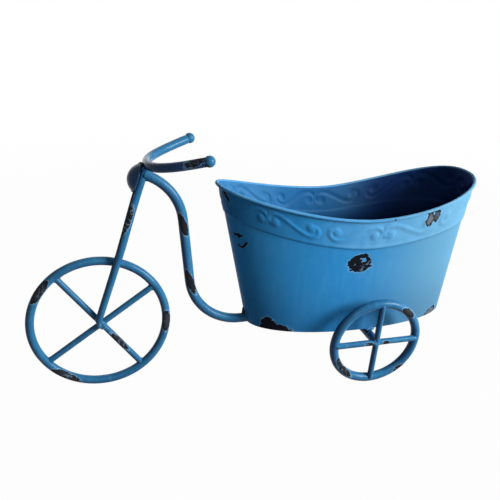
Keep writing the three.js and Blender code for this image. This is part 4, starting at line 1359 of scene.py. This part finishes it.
plate_edge = [(PLATE_TOP, 1.2), (PLATE_TOP - 0.2, 0.3), (PLATE_TOP - 0.7, 0), (0.1, 0), (0, 0.1)]
plate_edge += [(0, SHEET - 0.1), (0.1, SHEET), (FLOOR_SET_UP - 0.3, SHEET), (FLOOR_SET_UP, SHEET + 0.4)]
rings = np.stack([floor_ring(height, inset) for height, inset in plate_edge])
skin_piece("tub_floor_plate", rings, TUB_PAINT, ["tub_floor"], marks=chip_marks(rings))

# %% [markdown]
# The bicycle stands on a pale floor in a white room. Bright light on the floor would whiten the paint as
# well. So floor and world are dim for the light that reaches the object, and a switch on the kind of ray
# makes them white to the camera and in reflections. The floor keeps a little of the object's shadow.

# %% White room
WORLD_LIGHT, FLOOR_GREY, WHITE_FLOOR = 0.02, (0.22, 0.22, 0.22, 1), 0.98
FLOOR_FADE, FLOOR_HALF = (0.6, 1.6), 6.0
WHITE = (1, 1, 1, 1)


def white_to_camera(tree, plain, white_kind, share):
    """White for camera, glossy and transmission rays, by a share, and the plain shader for all others."""
    rays = add_node(tree, "ShaderNodeLightPath").outputs
    seen = math_node(tree, "MAXIMUM", rays["Is Camera Ray"], rays["Is Glossy Ray"])
    seen = math_node(tree, "MAXIMUM", seen, rays["Is Transmission Ray"])
    white = add_node(tree, white_kind, {"Color": WHITE, "Strength": 1.0}).outputs[0]
    inputs = {0: math_node(tree, "MULTIPLY", seen, share), 1: plain, 2: white}
    return add_node(tree, "ShaderNodeMixShader", inputs).outputs[0]


world = bpy.data.worlds.new("studio")
tree = cleared_tree(world)
plain = add_node(tree, "ShaderNodeBackground", {"Color": WHITE, "Strength": WORLD_LIGHT}).outputs[0]
seen = white_to_camera(tree, plain, "ShaderNodeBackground", 1.0)
add_node(tree, "ShaderNodeOutputWorld", {"Surface": seen})
bpy.context.scene.world = world

floor_material = bpy.data.materials.new("pale_floor")
tree = cleared_tree(floor_material)
plain = add_node(tree, "ShaderNodeBsdfDiffuse", {"Color": FLOOR_GREY}).outputs[0]
place = add_node(tree, "ShaderNodeTexCoord").outputs["Object"]
far = add_node(tree, "ShaderNodeVectorMath", {0: place}, operation="LENGTH").outputs["Value"]
inputs = {0: ramp(tree, far, FLOOR_FADE), 1: 1 - WHITE_FLOOR, 2: WHITE_FLOOR}
white_share = add_node(tree, "ShaderNodeMath", inputs, operation="MULTIPLY_ADD").outputs[0]
seen = white_to_camera(tree, plain, "ShaderNodeEmission", white_share)
add_node(tree, "ShaderNodeOutputMaterial", {"Surface": seen})
corners = [(x * FLOOR_HALF, y * FLOOR_HALF, 0) for x, y in ((-1, -1), (1, -1), (1, 1), (-1, 1))]
floor_mesh = bpy.data.meshes.new("floor")
floor_mesh.from_pydata(corners, [], [(0, 1, 2, 3)])
floor_mesh.materials.append(floor_material)
floor = bpy.data.objects.new("floor", floor_mesh)
bpy.context.scene.collection.objects.link(floor)
print("the floor is", 2 * FLOOR_HALF, "m wide and", WHITE_FLOOR, "white to the camera near the object")

# %% [markdown]
# The key lamp is a soft square one behind the bicycle's left rear corner, low enough that the tub's left
# side goes from bright at the rear to dark at the front. A small lamp near the camera gives the bars a
# narrow highlight, and the others keep the far sides from going black. One sun would be simpler, but its
# shadows are hard. The watts are set so that a colour renders about as it is written.

# %% Lamps
KEY_AROUND, KEY_ABOVE, KEY_FAR = 51 * DEGREE, 22 * DEGREE, 1.3


def turned_to(thing, across, up, backwards, place):
    """Puts a lamp or camera at a place: its own X, Y and Z directions are the first three columns."""
    matrix = np.eye(4)
    matrix[:3] = np.stack([across, up, backwards, place], axis=-1)
    thing.matrix_world = matrix.T.tolist()
    bpy.context.scene.collection.objects.link(thing)


def soft_lamp(name, place, target, size, power):
    """A square area lamp that faces a target, both in metres."""
    light = bpy.data.lights.new(name, "AREA")
    light.size, light.energy = size, power
    away = unit(np.asarray(place, float) - np.asarray(target, float))
    across = unit(np.cross(Z_AXIS, away))
    turned_to(bpy.data.objects.new(name, light), across, np.cross(away, across), away, place)
    print(f"{name}: {power} W, {size} m wide")


aim = np.array([0.05, 0, 0.12])
level_way = math.sin(KEY_AROUND) * X_AXIS - math.cos(KEY_AROUND) * Y_AXIS
key_place = aim + KEY_FAR * (math.cos(KEY_ABOVE) * level_way + math.sin(KEY_ABOVE) * Z_AXIS)
soft_lamp("key_lamp", key_place, aim, size=0.6, power=30.0)
soft_lamp("side_lamp", (1.25, 0.1, 0.15), aim, size=0.6, power=0.5)
soft_lamp("back_lamp", (0.0, 1.3, 0.5), aim, size=1.5, power=7.0)
soft_lamp("fill_lamp", (-0.9, -1.2, 0.12), (0, 0, 0.1), size=0.8, power=0.5)
soft_lamp("front_lamp", (-0.25, -1.15, 0.62), aim, size=0.20, power=1.7)

# %% [markdown]
# The camera stands where the photograph was taken from: on the bicycle's left, a little in front of its
# middle, above it and looking down. Its place and turns were fitted to the wheels, the handlebar's balls
# and the tub's edges, because a camera set by eye never matches a wheel's ellipse.

# %% Camera
CAMERA_PLACE = (-9.9, -571.6, 371.62)
CAMERA_YAW, CAMERA_PITCH, CAMERA_ROLL = 15.918, -21.646, 1.972
FOCAL_PIXELS, PICTURE_PIXELS = 629.852, 500
SHIFT_RIGHT, SHIFT_DOWN = 0.75, 0.25
SENSOR_WIDTH, NEAREST = 36.0, 0.01
yaw, pitch, roll = (value * DEGREE for value in (CAMERA_YAW, CAMERA_PITCH, CAMERA_ROLL))
forward = np.array([math.sin(yaw) * math.cos(pitch), math.cos(yaw) * math.cos(pitch), math.sin(pitch)])
level = np.array([math.cos(yaw), -math.sin(yaw), 0])
upright = np.cross(level, forward)
right = math.cos(roll) * level + math.sin(roll) * upright
up = math.cos(roll) * upright - math.sin(roll) * level
camera_data = bpy.data.cameras.new("camera")
camera_data.sensor_fit = "HORIZONTAL"
camera_data.sensor_width = SENSOR_WIDTH
camera_data.lens = SENSOR_WIDTH * FOCAL_PIXELS / PICTURE_PIXELS
camera_data.shift_x = -SHIFT_RIGHT / PICTURE_PIXELS
camera_data.shift_y = SHIFT_DOWN / PICTURE_PIXELS
camera_data.clip_start = NEAREST
camera = bpy.data.objects.new("camera", camera_data)
turned_to(camera, right, up, -forward, to_frame(CAMERA_PLACE))
bpy.context.scene.camera = camera
print("lens", round(camera_data.lens, 2), "mm")

# %% [markdown]
# The Standard view shows each colour as it was written, without a film look.

# %% Colour and the end
bpy.context.scene.view_settings.view_transform = "Standard"
